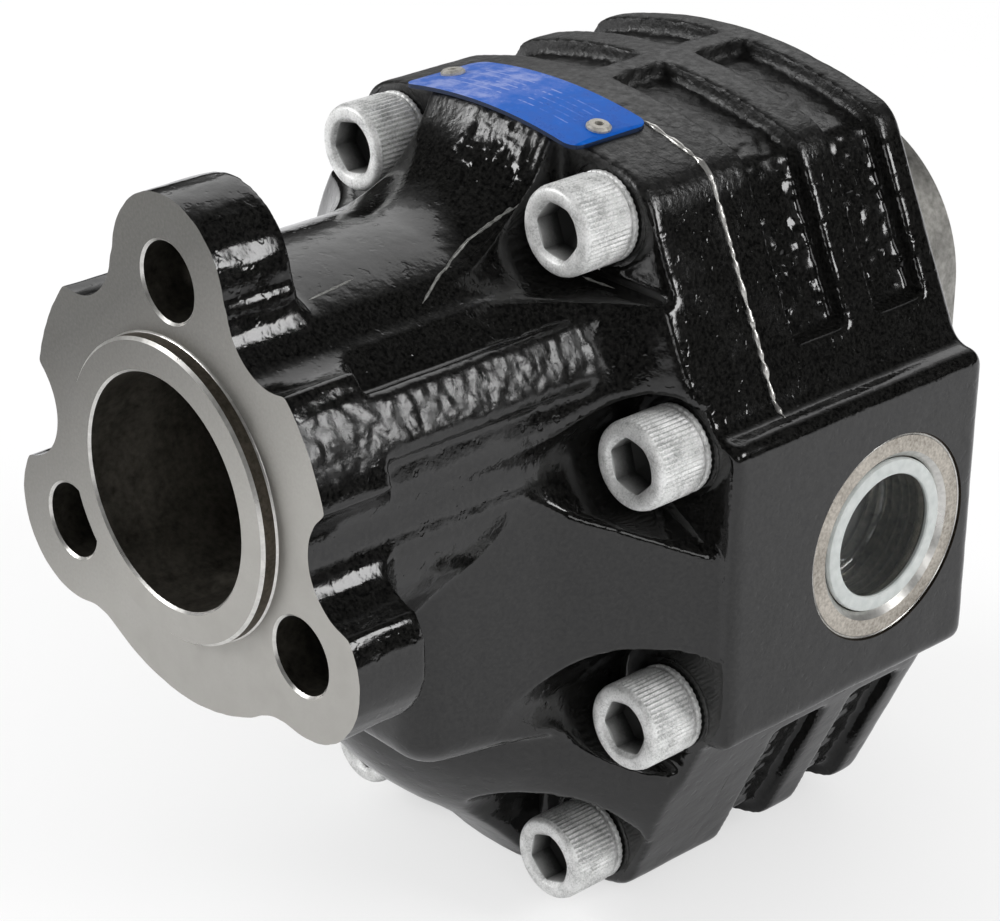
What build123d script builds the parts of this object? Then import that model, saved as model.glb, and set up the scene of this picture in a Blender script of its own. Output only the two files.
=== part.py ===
from build123d import *
import os
from math import acos, asin, cos, degrees, hypot, pi, radians, sin, tan

# Gear pump with a three-bolt mounting flange, two meshed gears and a threaded port on each side.
# Frame: origin on the mounting flange face, on the drive shaft's axis.
# +Z is up, -Y points out of the flange, +X points out of the port that the photograph shows.
# Every size is in millimetres, and "height" is measured from the middle between the two gear axes.

# How far a cutting tool runs past the face that it starts from
OVERCUT = 1.0

# Gears and shafts
GEAR_MODULE = 4.58
GEAR_TEETH = 12
GEAR_WIDTH = 35.8
GEAR_PRESSURE_ANGLE = 25.0
GEAR_BACKLASH = 0.35
GEAR_ADDENDUM = 1.0
GEAR_DEDENDUM = 1.22
JOURNAL_R = 15.0
JOURNAL_CHAMFER = 1.0
JOURNAL_END_PLAY = 1.0
SPLINE_ROOT_R = 10.5
SPLINE_TIP_R = 12.5
SPLINE_KEYS = 6
SPLINE_KEY_WIDTH = 5.0
SPLINE_START_Y = 26.0
SPLINE_LENGTH = 22.0
SPLINE_CHAMFER = 1.4
CENTRE_DRILL_R = 3.0
CENTRE_DRILL_DEPTH = 5.0

# Mounting flange, pilot and neck
PILOT_R = 30.0
PILOT_HEIGHT = 3.3
PILOT_CHAMFER = 0.6
FLANGE_THICKNESS = 16.0
FLANGE_R = 45.0
MOUNT_CIRCLE_R = 41.2
MOUNT_HOLE_R = 7.7
MOUNT_HOLE_CHAMFER = 0.4
MOUNT_HOLE_RUN_OUT = 3.0
MOUNT_ANGLES = (90, 210, 330)
LOBE_R = 16.8
LOBE_BLEND_R = 12.0
NECK_R = 40.0
NECK_ROOT_R = 3.5
PAD_LOW_ANGLE = 19.7
PAD_HIGH_ANGLE = 37.0
PAD_END_Y = 70.0
PAD_EDGE_R = 2.0
FLARE_START_Y = 50.0
FLARE_END_Y = 76.5
FLARE_R = 56.0
FLARE_MIDDLE_R = 43.6
FLARE_MIDDLE_Y = 65.0
BELL_START_Y = 8.0
BELL_OUTER_R = 62.0
BELL_OUTER_Y = 81.0
BELL_TAIL = 2.0
NECK_BORE_R = 22.5
MOUTH_BORE_R = 23.3
MOUTH_DEPTH_Y = 7.0
MOUTH_CHAMFER = 0.8
MOUTH_STEP = 0.4

# Bearing housing of the driven gear and the flanks beside it
DOME_START_Y = 31.5
DOME_SHOULDER_Y = 58.5
DOME_SHOULDER_R = 37.0
DOME_NOSE_R = 22.0
DOME_NOSE_Y = 43.0
DOME_FLARE_MIDDLE_R = 46.5
DOME_FLARE_MIDDLE_Y = 69.0
DOME_FLARE_END_Y = 77.5
FLANK_START_Y = 29.0
FLANK_START_X = 33.5
FLANK_BEND_Y = 56.0
FLANK_BEND_X = 41.2
FLANK_END_X = 62.8
FLANK_EDGE_R = 8.0
FLANK_FRONT_BLEND_R = 9.5
FLANK_BEND_BLEND_R = 14.0
FLANK_REAR_BLEND_R = 0.5

# Outline shared by both castings
CROWN_R = 125.0
CROWN_REACH = 0.904
SHOULDER_X = 39.7
SHOULDER_HEIGHT = 77.5
SHOULDER_BLEND_R = 8.0
BLOCK_HALF_WIDTH = 66.7
BLOCK_HALF_HEIGHT = 33.3
BLOCK_STEP = 6.5
BLOCK_ROOT_BLEND_R = 4.4
BLOCK_EDGE_R = 3.4
COVER_FACE_Y = 80.0
COVER_EDGE_R = 1.6
JOINT_Y = 97.3

# Pump body: circumferential grooves, rear edge and rear boss
BODY_END_Y = 151.4
BODY_EDGE_R = 3.2
GROOVE_SPANS = ((107.2, 121.4), (130.2, 144.0))
GROOVE_DEPTH = 3.8
GROOVE_LOW_HEIGHT = 43.0
WEB_HALF_WIDTH = 3.0
BOSS_R = 32.2
BOSS_END_Y = 184.0
BOSS_CHAMFER = 1.2

# Cover screws, M12 with a socket head, and their lock washers
SCREW_R = 6.0
SCREW_LENGTH = 45.0
SCREW_HEAD_R = 9.0
SCREW_HEAD_HEIGHT = 12.0
SCREW_HEAD_CHAMFER = 0.5
SCREW_END_CHAMFER = 1.0
SCREW_SOCKET_FLATS = 10.0
SCREW_SOCKET_DEPTH = 6.0
SCREW_HOLE_R = 6.75
SCREW_TAP_R = 6.05
SCREW_TAP_SPARE = 5.0
SCREW_INNER_X = 29.8
SCREW_INNER_HEIGHT = 69.4
SCREW_OUTER_X = 50.8
SCREW_OUTER_HEIGHT = 28.5
WASHER_THICKNESS = 1.6
WASHER_R = 9.0
WASHER_HOLE_R = 6.2
SEAT_DEPTH = 0.5

# Wrench clearance round the screws
FLANGE_SCALLOP_R = 12.2
SPOTFACE_R = 10.5
UPPER_POCKET_R = 12.2
LOWER_OUTER_POCKET_R = 15.7
LOWER_OUTER_POCKET_X = 53.7
LOWER_OUTER_POCKET_HEIGHT = 26.5
LOWER_INNER_POCKET_R = 16.0
LOWER_INNER_POCKET_X = 30.8
LOWER_INNER_POCKET_HEIGHT = 66.0
POCKET_OPENING_Y = 56.0
WEDGE_DROP = 0.5
WEDGE_LEAD = 5.0
WEDGE_RISE = 1.3
WEDGE_START_Y = 44.0
POCKET_ROOM = 40.0
LOWER_OUTER_POCKET_START_Y = 24.0

# Ports, G 1 thread
PORT_Y = 124.5
PORT_THREAD_R = 16.62
PORT_THREAD_DEPTH = 20.0
PORT_DRILL_TAPER = 3.0
PORT_PASSAGE_R = 12.5
PORT_PASSAGE_END_X = 10.0
PORT_SEAT_R = 22.15
PORT_SEAT_DEPTH = 0.5
PORT_MOUTH_CHAMFER = 0.7

# Port plugs
PLUG_SINK = 0.3
PLUG_RIM_R = 16.3
PLUG_RIM_EDGE = 0.3
PLUG_MOUTH_EDGE = 0.4
PLUG_RIM_THICKNESS = 1.4
PLUG_CUP_R = 14.95
PLUG_CUP_WALL = 1.9
PLUG_CUP_DEPTH = 14.0
PLUG_END_CHAMFER = 1.0
PLUG_ROOT_CHAMFER = 0.8
PLUG_FLOOR = 1.3

# Bearings, wear plates and seals
JOURNAL_CLEARANCE = 0.04
TIP_CLEARANCE = 0.3
END_CLEARANCE = 0.05
PLATE_THICKNESS = 5.0
PLATE_CLEARANCE = 0.1
PLATE_HOLE_CLEARANCE = 0.4
PLATE_RELIEF_DEPTH = 1.5
PLATE_RELIEF_X = 11.0
PLATE_RELIEF_WIDTH = 10.0
PLATE_RELIEF_HEIGHT = 12.0
BUSH_WALL = 2.0
BUSH_LENGTH = 28.0
BORE_WELL_R = 12.0
BORE_WELL_DEPTH = 3.0
SHAFT_WAY_CLEARANCE = 0.8
PLATE_GROOVE_DEPTH = 2.0
PLATE_SEAL_R = 22.0
PLATE_SEAL_WIDTH = 2.3
PLATE_SEAL_END_X = -8.0
BACKUP_WIDTH = 1.5
SEAL_PLAY = 0.1
SEAL_WIDTH = 7.0
SEAL_GAP = 0.3
SEAL_SHELL = 2.6
SEAL_LAND = 2.5
SEAL_FLOOR = 1.8
SEAL_FLOOR_CLEARANCE = 1.6
SEAL_LIP_Y = 4.2
SEAL_LIP_END_Y = 5.4
SEAL_LIP_WALL = 1.3
SEAL_LIP_RISE = 0.6
CIRCLIP_THICKNESS = 1.75
CIRCLIP_GROOVE_DEPTH = 1.2
CIRCLIP_WIDTH = 4.2
CIRCLIP_PLAY = 0.05
CIRCLIP_OFFSET = 0.7
CIRCLIP_OPENING = 4.0
CIRCLIP_EAR_X = 5.0
CIRCLIP_EAR_R = 3.2
CIRCLIP_EAR_DEPTH = 4.4
CIRCLIP_EYE_R = 1.2
O_RING_R = 36.2
O_RING_GROOVE_WIDTH = 3.2
O_RING_GROOVE_DEPTH = 2.2
DOWEL_R = 4.0
DOWEL_X = 46.0
DOWEL_LENGTH = 16.0
DOWEL_CHAMFER = 0.6

# Nameplate on top of the cover
NAMEPLATE_X = 24.6
NAMEPLATE_START_Y = 76.2
NAMEPLATE_END_Y = 96.6
NAMEPLATE_THICKNESS = 0.8
NAMEPLATE_CORNER_R = 3.0
RIVET_X = 20.8
RIVET_HEAD_R = 2.5
RIVET_HEAD_HEIGHT = 0.9
RIVET_SHANK_R = 1.5
RIVET_BORE_R = 0.9
RIVET_LENGTH = 6.0
RIVET_EDGE = 0.5
RIVET_FLOOR = 1.0

# Stations and radii that follow from the sizes above
CROWN_TILT = asin(CROWN_REACH * SHOULDER_X / CROWN_R)
CROWN_APEX = SHOULDER_HEIGHT + SHOULDER_X * tan(CROWN_TILT)
BLOCK_ROOT_X = BLOCK_HALF_WIDTH - BLOCK_STEP
GEAR_AXIS_GAP = GEAR_MODULE * GEAR_TEETH
MID_Z = -GEAR_AXIS_GAP / 2
AXES_Z = (0.0, -GEAR_AXIS_GAP)
PITCH_R = GEAR_AXIS_GAP / 2
GEAR_TIP_R = PITCH_R + GEAR_ADDENDUM * GEAR_MODULE
GEAR_ROOT_R = PITCH_R - GEAR_DEDENDUM * GEAR_MODULE
CHAMBER_R = GEAR_TIP_R + TIP_CLEARANCE
FRONT_PLATE_Y = JOINT_Y + END_CLEARANCE
GEAR_FRONT_Y = FRONT_PLATE_Y + PLATE_THICKNESS + END_CLEARANCE
GEAR_REAR_Y = GEAR_FRONT_Y + GEAR_WIDTH
REAR_PLATE_Y = GEAR_REAR_Y + END_CLEARANCE
CHAMBER_END_Y = REAR_PLATE_Y + PLATE_THICKNESS + END_CLEARANCE
BUSH_INNER_R = JOURNAL_R + JOURNAL_CLEARANCE
BUSH_OUTER_R = BUSH_INNER_R + BUSH_WALL
FRONT_BUSH_Y = JOINT_Y - BUSH_LENGTH
REAR_BUSH_END_Y = CHAMBER_END_Y + BUSH_LENGTH
SHAFT_END_Y = REAR_BUSH_END_Y - JOURNAL_END_PLAY
SPLINE_END_Y = SPLINE_START_Y + SPLINE_LENGTH
SEAT_Y = COVER_FACE_Y + SEAT_DEPTH
HEAD_UNDER_Y = SEAT_Y - WASHER_THICKNESS
HEAD_TOP_Y = HEAD_UNDER_Y - SCREW_HEAD_HEIGHT
SCREW_END_Y = HEAD_UNDER_Y + SCREW_LENGTH
INNER_SEAL_END_Y = FRONT_BUSH_Y - SEAL_LAND
INNER_SEAL_Y = INNER_SEAL_END_Y - SEAL_WIDTH
OUTER_SEAL_Y = INNER_SEAL_Y - SEAL_GAP - SEAL_WIDTH
CIRCLIP_Y = OUTER_SEAL_Y - SEAL_GAP - CIRCLIP_THICKNESS
CIRCLIP_GROOVE_R = NECK_BORE_R + CIRCLIP_GROOVE_DEPTH
PORT_SEAT_X = BLOCK_HALF_WIDTH - PORT_SEAT_DEPTH
PLUG_FACE_X = PORT_SEAT_X - PLUG_SINK
BACKUP_R = PLATE_SEAL_R + PLATE_SEAL_WIDTH + SEAL_PLAY


def across(y):
    return Plane(origin=(0, y, 0), x_dir=(1, 0, 0), z_dir=(0, -1, 0))


def slab(sketch, y_start, y_end):
    return extrude(across(y_start) * sketch, amount=y_end - y_start, dir=(0, 1, 0))


def rod(radius, y_start, y_end, x=0.0, z=0.0):
    return slab(Pos(x, z) * Circle(radius), y_start, y_end)


def turned(points, z=0.0):
    # points are (y, radius) pairs of a closed section, spun about a shaft's axis
    section = make_face(Polyline(*[(radius, y) for y, radius in points], close=True))
    return Pos(0, 0, z) * revolve(section, Axis.Y)


def turned_on_port(points, side):
    # points are (x, radius) pairs of a closed section, spun about a port's axis
    section = make_face(Polyline(*[(side * x, radius) for x, radius in points], close=True))
    return Pos(0, PORT_Y, MID_Z) * revolve(section, Axis.X)


def ring(radius_out, radius_in, y_start, y_end, z=0.0):
    return slab(Pos(0, z) * (Circle(radius_out) - Circle(radius_in)), y_start, y_end)


def screw_positions():
    spots = []
    for x, height in ((SCREW_INNER_X, SCREW_INNER_HEIGHT), (SCREW_OUTER_X, SCREW_OUTER_HEIGHT)):
        for side in (1, -1):
            for level in (1, -1):
                spots.append((side * x, MID_Z + level * height))
    return spots


def body_outline(growth=0.0):
    # clockwise corner list with a rounding radius each; growth moves every side outwards or inwards
    quarter = [
        (SHOULDER_X, SHOULDER_HEIGHT, SHOULDER_BLEND_R),
        (BLOCK_ROOT_X, BLOCK_HALF_HEIGHT, BLOCK_ROOT_BLEND_R),
        (BLOCK_HALF_WIDTH, BLOCK_HALF_HEIGHT, BLOCK_EDGE_R),
    ]
    right = quarter + [(x, -height, radius) for x, height, radius in reversed(quarter)]
    left = [(-x, height, radius) for x, height, radius in reversed(right)]
    corners = [(0, CROWN_APEX, CROWN_R)] + right + [(0, -CROWN_APEX, CROWN_R)] + left
    points, radii = [], []
    for i, (x, height, radius) in enumerate(corners):
        here = Vector(x, MID_Z + height)
        before = corners[i - 1]
        after = corners[(i + 1) % len(corners)]
        arrive = (here - Vector(before[0], MID_Z + before[1])).normalized()
        leave = (Vector(after[0], MID_Z + after[1]) - here).normalized()
        outward = Vector(-arrive.Y - leave.Y, arrive.X + leave.X)
        here = here + outward * (growth / (1 + arrive.dot(leave)))
        convex = arrive.cross(leave).Z < 0
        points.append((here.X, here.Y))
        radii.append(max(0.3, radius + growth) if convex else radius)
    return make_face(FilletPolyline(*points, radius=radii, close=True))


def flange_outline():
    face = Sketch() + Circle(FLANGE_R)
    for angle in MOUNT_ANGLES:
        face += Rot(0, 0, angle) * Pos(MOUNT_CIRCLE_R, 0) * Circle(LOBE_R)
    low = [v for v in face.vertices() if v.Y < -FLANGE_R / 2]
    face = fillet(low, LOBE_BLEND_R)
    for x, z in screw_positions():
        if z > MID_Z:
            face -= Pos(x, z) * Circle(FLANGE_SCALLOP_R)
    return face


def figure_eight(radius):
    return Sketch() + [Pos(0, z) * Circle(radius) for z in AXES_Z]


def obround(radius):
    return figure_eight(radius) + Pos(0, MID_Z) * Rectangle(2 * radius, GEAR_AXIS_GAP)


def quadrant_box(x_low, x_high, height_low, height_high, side, level):
    # rectangle given in the upper right quadrant's coordinates, mirrored to its own quadrant
    centre = Pos(side * (x_low + x_high) / 2, MID_Z + level * (height_low + height_high) / 2)
    return centre * Rectangle(x_high - x_low, height_high - height_low)


def pocket(x, z):
    # wrench clearance in front of a cover screw, open towards the nearest edge of the casting
    side = 1 if x > 0 else -1
    level = 1 if z > MID_Z else -1
    inner = abs(x) < SCREW_OUTER_X
    room = POCKET_ROOM
    if level > 0 and inner:
        cutter = rod(UPPER_POCKET_R, 0, COVER_FACE_Y, x, z)
        sides = quadrant_box(SCREW_INNER_X - UPPER_POCKET_R, SCREW_INNER_X + room, SCREW_INNER_HEIGHT,
                             SCREW_INNER_HEIGHT + room, side, level)
        sides += quadrant_box(SCREW_INNER_X, SCREW_INNER_X + room, SCREW_INNER_HEIGHT - UPPER_POCKET_R,
                              SCREW_INNER_HEIGHT + OVERCUT, side, level)
        cutter += slab(sides, POCKET_OPENING_Y, COVER_FACE_Y)
    elif level > 0:
        cutter = rod(UPPER_POCKET_R, 0, COVER_FACE_Y, x, z)
        low = SCREW_OUTER_HEIGHT - UPPER_POCKET_R + WEDGE_RISE
        end = SCREW_OUTER_X + room
        wedge = [(SCREW_OUTER_X, SCREW_OUTER_HEIGHT), (SCREW_OUTER_X - WEDGE_LEAD, low),
                 (end, low - WEDGE_DROP * (room + WEDGE_LEAD)), (end, SCREW_OUTER_HEIGHT)]
        wedge = make_face(Polyline(*[(side * a, MID_Z + b) for a, b in wedge], close=True))
        cutter += slab(wedge, WEDGE_START_Y, COVER_FACE_Y)
    elif inner:
        middle = (side * LOWER_INNER_POCKET_X, MID_Z - LOWER_INNER_POCKET_HEIGHT)
        cutter = rod(LOWER_INNER_POCKET_R, DOME_START_Y, COVER_FACE_Y, *middle)
        sides = quadrant_box(LOWER_INNER_POCKET_X - LOWER_INNER_POCKET_R,
                             LOWER_INNER_POCKET_X + LOWER_INNER_POCKET_R,
                             LOWER_INNER_POCKET_HEIGHT, LOWER_INNER_POCKET_HEIGHT + room, side, level)
        cutter += slab(sides, DOME_START_Y, COVER_FACE_Y)
    else:
        middle = (side * LOWER_OUTER_POCKET_X, MID_Z - LOWER_OUTER_POCKET_HEIGHT)
        cutter = rod(LOWER_OUTER_POCKET_R, LOWER_OUTER_POCKET_START_Y, COVER_FACE_Y, *middle)
        sides = quadrant_box(LOWER_OUTER_POCKET_X, LOWER_OUTER_POCKET_X + LOWER_OUTER_POCKET_R,
                             LOWER_OUTER_POCKET_HEIGHT, LOWER_OUTER_POCKET_HEIGHT + room, side, level)
        cutter += slab(sides, LOWER_OUTER_POCKET_START_Y, COVER_FACE_Y)
    return cutter + rod(SPOTFACE_R, COVER_FACE_Y - OVERCUT, SEAT_Y, x, z)


def bell():
    # the neck and its flare, spun about the drive axis
    rim = (FLARE_R, FLARE_END_Y)
    flare = ThreePointArc((NECK_R, FLARE_START_Y), (FLARE_MIDDLE_R, FLARE_MIDDLE_Y), rim)
    front = Polyline((0, BELL_START_Y), (NECK_R, BELL_START_Y), (NECK_R, FLARE_START_Y))
    end = JOINT_Y - BELL_TAIL
    back = Polyline(rim, (BELL_OUTER_R, BELL_OUTER_Y), (BELL_OUTER_R, end), (0, end), (0, BELL_START_Y))
    return revolve(make_face([flare] + list(front.edges()) + list(back.edges())), Axis.Y)


def neck_root():
    # rounding between the back of the flange and the neck
    low = FLANGE_THICKNESS
    high = low + NECK_ROOT_R
    wide = NECK_R + NECK_ROOT_R
    inside = NECK_R - OVERCUT
    bulge = NECK_ROOT_R * (1 - cos(radians(45)))
    arc = ThreePointArc((NECK_R, high), (NECK_R + bulge, low + bulge), (wide, low))
    rest = Polyline((wide, low), (inside, low), (inside, high), (NECK_R, high))
    root = revolve(make_face([arc] + list(rest.edges())), Axis.Y)
    return root & slab(flange_outline(), low - OVERCUT, high)


def neck_pads():
    # raised bands, flush with the flange's rim, that run back along the upper sides of the neck
    pads = Part()
    for side in (1, -1):
        corners = [(0, 0)]
        for angle in (PAD_LOW_ANGLE, PAD_HIGH_ANGLE):
            corners.append((side * 2 * FLANGE_R * cos(radians(angle)), 2 * FLANGE_R * sin(radians(angle))))
        wedge = make_face(Polyline(*corners, close=True))
        band = (Circle(FLANGE_R) - Circle(NECK_R - OVERCUT)) & wedge
        pad = slab(band, BELL_START_Y, PAD_END_Y)
        along = [e for e in pad.edges().filter_by(Axis.Y) if hypot(e.center().X, e.center().Z) > NECK_R + OVERCUT]
        pads += fillet(along, PAD_EDGE_R)
    return pads


def dome():
    # the bearing housing of the driven gear, spun about its own axis
    shoulder = (DOME_SHOULDER_R, DOME_SHOULDER_Y)
    rim = (FLARE_R, DOME_FLARE_END_Y)
    nose = ThreePointArc((0, DOME_START_Y), (DOME_NOSE_R, DOME_NOSE_Y), shoulder)
    flare = ThreePointArc(shoulder, (DOME_FLARE_MIDDLE_R, DOME_FLARE_MIDDLE_Y), rim)
    end = JOINT_Y - BELL_TAIL
    back = Polyline(rim, (BELL_OUTER_R, BELL_OUTER_Y), (BELL_OUTER_R, end), (0, end), (0, DOME_START_Y))
    return Pos(0, 0, AXES_Z[1]) * revolve(make_face([nose, flare] + list(back.edges())), Axis.Y)


def flanks():
    # flat sides that run out from the neck to the port blocks
    right = [(FLANK_START_X, FLANK_START_Y), (FLANK_BEND_X, FLANK_BEND_Y), (FLANK_END_X, COVER_FACE_Y)]
    right += [(FLANK_END_X, JOINT_Y - BELL_TAIL)]
    left = [(-x, y) for x, y in reversed(right)]
    blends = [FLANK_FRONT_BLEND_R, FLANK_BEND_BLEND_R, FLANK_REAR_BLEND_R, FLANK_REAR_BLEND_R]
    path = FilletPolyline(*(right + left), radius=blends + blends[::-1], close=True)
    low = MID_Z - BLOCK_HALF_HEIGHT
    solid = extrude(Pos(0, 0, low) * make_face(path), amount=2 * BLOCK_HALF_HEIGHT)
    under = [e for e in solid.edges() if abs(e.center().Z - low) < 0.01 and e.center().Y < COVER_FACE_Y]
    return fillet(under, FLANK_EDGE_R)


def front_cover():
    outline = body_outline()
    casting = slab(outline, COVER_FACE_Y, JOINT_Y)
    front_rim = casting.faces().sort_by(Axis.Y)[0].outer_wire().edges()
    casting = fillet(front_rim, COVER_EDGE_R)
    casting += (bell() + dome() + flanks()) & slab(outline, BELL_START_Y, JOINT_Y)
    casting += neck_root()
    casting += neck_pads()
    casting += slab(flange_outline(), 0, FLANGE_THICKNESS)
    for x, z in screw_positions():
        casting -= pocket(x, z)
        casting -= rod(SCREW_HOLE_R, SEAT_Y - OVERCUT, JOINT_Y + OVERCUT, x, z)
    casting += turned([(OVERCUT, 0), (OVERCUT, PILOT_R), (PILOT_CHAMFER - PILOT_HEIGHT, PILOT_R),
                       (-PILOT_HEIGHT, PILOT_R - PILOT_CHAMFER), (-PILOT_HEIGHT, 0)])

    # stepped bore of the neck: mouth, coupling chamber and seal seat, then the shaft's way to the gears
    top = -PILOT_HEIGHT
    mouth = MOUTH_BORE_R + MOUTH_CHAMFER
    casting -= turned([(top - OVERCUT, 0), (top - OVERCUT, mouth), (top, mouth),
                       (top + MOUTH_CHAMFER, MOUTH_BORE_R), (MOUTH_DEPTH_Y, MOUTH_BORE_R),
                       (MOUTH_DEPTH_Y + MOUTH_STEP, NECK_BORE_R), (INNER_SEAL_END_Y, NECK_BORE_R),
                       (INNER_SEAL_END_Y, 0)])
    casting -= rod(CIRCLIP_GROOVE_R, CIRCLIP_Y - CIRCLIP_PLAY, CIRCLIP_Y + CIRCLIP_THICKNESS + CIRCLIP_PLAY)
    casting -= rod(JOURNAL_R + SHAFT_WAY_CLEARANCE, INNER_SEAL_END_Y - OVERCUT, FRONT_BUSH_Y + OVERCUT)
    for z in AXES_Z:
        casting -= rod(BUSH_OUTER_R, FRONT_BUSH_Y, JOINT_Y + OVERCUT, 0, z)
    casting -= rod(BORE_WELL_R, FRONT_BUSH_Y - BORE_WELL_DEPTH, FRONT_BUSH_Y + OVERCUT, 0, AXES_Z[1])

    # the mounting holes run on a little behind the flange, where they cut into the neck
    wide = MOUNT_HOLE_R + MOUNT_HOLE_CHAMFER
    hole_end = FLANGE_THICKNESS + MOUNT_HOLE_RUN_OUT
    hole = turned([(-OVERCUT, 0), (-OVERCUT, wide), (0, wide), (MOUNT_HOLE_CHAMFER, MOUNT_HOLE_R),
                   (hole_end, MOUNT_HOLE_R), (hole_end, 0)])
    for angle in MOUNT_ANGLES:
        casting -= Pos(MOUNT_CIRCLE_R * cos(radians(angle)), 0, MOUNT_CIRCLE_R * sin(radians(angle))) * hole
    downwards = (Align.CENTER, Align.CENTER, Align.MAX)
    for side in (1, -1):
        casting -= rod(DOWEL_R, JOINT_Y - DOWEL_LENGTH / 2, JOINT_Y + OVERCUT, side * DOWEL_X, MID_Z)
        casting -= rivet_axis(side) * Cylinder(RIVET_SHANK_R, RIVET_LENGTH + OVERCUT, align=downwards)
    return casting


def grooves():
    # circumferential channels over the crown and under the keel, each parted by a web in the middle
    band = body_outline(OVERCUT) - body_outline(-GROOVE_DEPTH)
    reach = BLOCK_HALF_WIDTH
    cutters = []
    for y_start, y_end in GROOVE_SPANS:
        for side in (1, -1):
            for level in (1, -1):
                half = quadrant_box(WEB_HALF_WIDTH, WEB_HALF_WIDTH + reach, GROOVE_LOW_HEIGHT,
                                    GROOVE_LOW_HEIGHT + reach, side, level)
                cutters.append(slab(band & half, y_start, y_end))
    return cutters


def pump_body():
    casting = slab(body_outline(), JOINT_Y, BODY_END_Y)
    casting = fillet(casting.faces().sort_by(Axis.Y)[-1].outer_wire().edges(), BODY_EDGE_R)
    boss = slab(obround(BOSS_R), BODY_END_Y - OVERCUT, BOSS_END_Y)
    casting += chamfer(boss.faces().sort_by(Axis.Y)[-1].outer_wire().edges(), BOSS_CHAMFER)
    for cutter in grooves():
        casting -= cutter
    casting -= slab(figure_eight(CHAMBER_R), JOINT_Y - OVERCUT, CHAMBER_END_Y)
    for z in AXES_Z:
        casting -= rod(BUSH_OUTER_R, CHAMBER_END_Y - OVERCUT, REAR_BUSH_END_Y, 0, z)
        casting -= rod(BORE_WELL_R, REAR_BUSH_END_Y - OVERCUT, REAR_BUSH_END_Y + BORE_WELL_DEPTH, 0, z)
    for side in (1, -1):
        bore_end = PORT_SEAT_X - PORT_THREAD_DEPTH
        start = BLOCK_HALF_WIDTH + OVERCUT
        casting -= turned_on_port([
            (start, 0), (start, PORT_SEAT_R), (PORT_SEAT_X, PORT_SEAT_R),
            (PORT_SEAT_X, PORT_THREAD_R + PORT_MOUTH_CHAMFER),
            (PORT_SEAT_X - PORT_MOUTH_CHAMFER, PORT_THREAD_R), (bore_end, PORT_THREAD_R),
            (bore_end - PORT_DRILL_TAPER, PORT_PASSAGE_R), (PORT_PASSAGE_END_X, PORT_PASSAGE_R),
            (PORT_PASSAGE_END_X, 0)], side)
        casting -= rod(DOWEL_R, JOINT_Y - OVERCUT, JOINT_Y + DOWEL_LENGTH / 2, side * DOWEL_X, MID_Z)
    for x, z in screw_positions():
        casting -= rod(SCREW_TAP_R, JOINT_Y - OVERCUT, SCREW_END_Y + SCREW_TAP_SPARE, x, z)
    track = obround(O_RING_R + O_RING_GROOVE_WIDTH) - obround(O_RING_R)
    return casting - slab(track, JOINT_Y - OVERCUT, JOINT_Y + O_RING_GROOVE_DEPTH)


def cover_screws():
    socket = RegularPolygon(SCREW_SOCKET_FLATS / 2, 6, major_radius=False)
    screw = turned([(HEAD_TOP_Y, 0), (HEAD_TOP_Y, SCREW_HEAD_R - SCREW_HEAD_CHAMFER),
                    (HEAD_TOP_Y + SCREW_HEAD_CHAMFER, SCREW_HEAD_R), (HEAD_UNDER_Y, SCREW_HEAD_R),
                    (HEAD_UNDER_Y, SCREW_R), (SCREW_END_Y - SCREW_END_CHAMFER, SCREW_R),
                    (SCREW_END_Y, SCREW_R - SCREW_END_CHAMFER), (SCREW_END_Y, 0)])
    screw -= slab(socket, HEAD_TOP_Y - OVERCUT, HEAD_TOP_Y + SCREW_SOCKET_DEPTH)
    return Compound(children=[Pos(x, 0, z) * screw for x, z in screw_positions()])


def lock_washers():
    washer = ring(WASHER_R, WASHER_HOLE_R, HEAD_UNDER_Y, SEAT_Y)
    return Compound(children=[Pos(x, 0, z) * washer for x, z in screw_positions()])


def involute(angle):
    return tan(angle) - angle


def gear_sketch(phase):
    # straight radial flanks below the base circle, one arc for each involute flank above it
    pressure = radians(GEAR_PRESSURE_ANGLE)
    base = PITCH_R * cos(pressure)
    half_pitch = (pi * GEAR_MODULE / 2 - GEAR_BACKLASH) / (2 * PITCH_R)

    def flank(radius, side):
        swing = half_pitch + involute(pressure) - involute(acos(min(1.0, base / radius)))
        return (radius * cos(side * swing), radius * sin(side * swing))

    middle = (base + GEAR_TIP_R) / 2
    foot = GEAR_ROOT_R - OVERCUT
    swing = half_pitch + involute(pressure)
    low = [(foot * cos(side * swing), foot * sin(side * swing)) for side in (1, -1)]
    tooth = make_face([
        Line(low[0], flank(base, 1)),
        ThreePointArc(flank(base, 1), flank(middle, 1), flank(GEAR_TIP_R, 1)),
        ThreePointArc(flank(GEAR_TIP_R, 1), (GEAR_TIP_R, 0), flank(GEAR_TIP_R, -1)),
        ThreePointArc(flank(GEAR_TIP_R, -1), flank(middle, -1), flank(base, -1)),
        Line(flank(base, -1), low[1]),
        Line(low[1], low[0]),
    ])
    step = 360 / GEAR_TEETH
    return Circle(GEAR_ROOT_R) + [Rot(0, 0, phase + step * i) * tooth for i in range(GEAR_TEETH)]


def journal(y_start):
    # the round shaft that a gear stands on, with both ends chamfered
    start = y_start + JOURNAL_CHAMFER
    end = SHAFT_END_Y - JOURNAL_CHAMFER
    tip = JOURNAL_R - JOURNAL_CHAMFER
    return turned([(y_start, 0), (y_start, tip), (start, JOURNAL_R), (end, JOURNAL_R), (SHAFT_END_Y, tip),
                   (SHAFT_END_Y, 0)])


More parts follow.
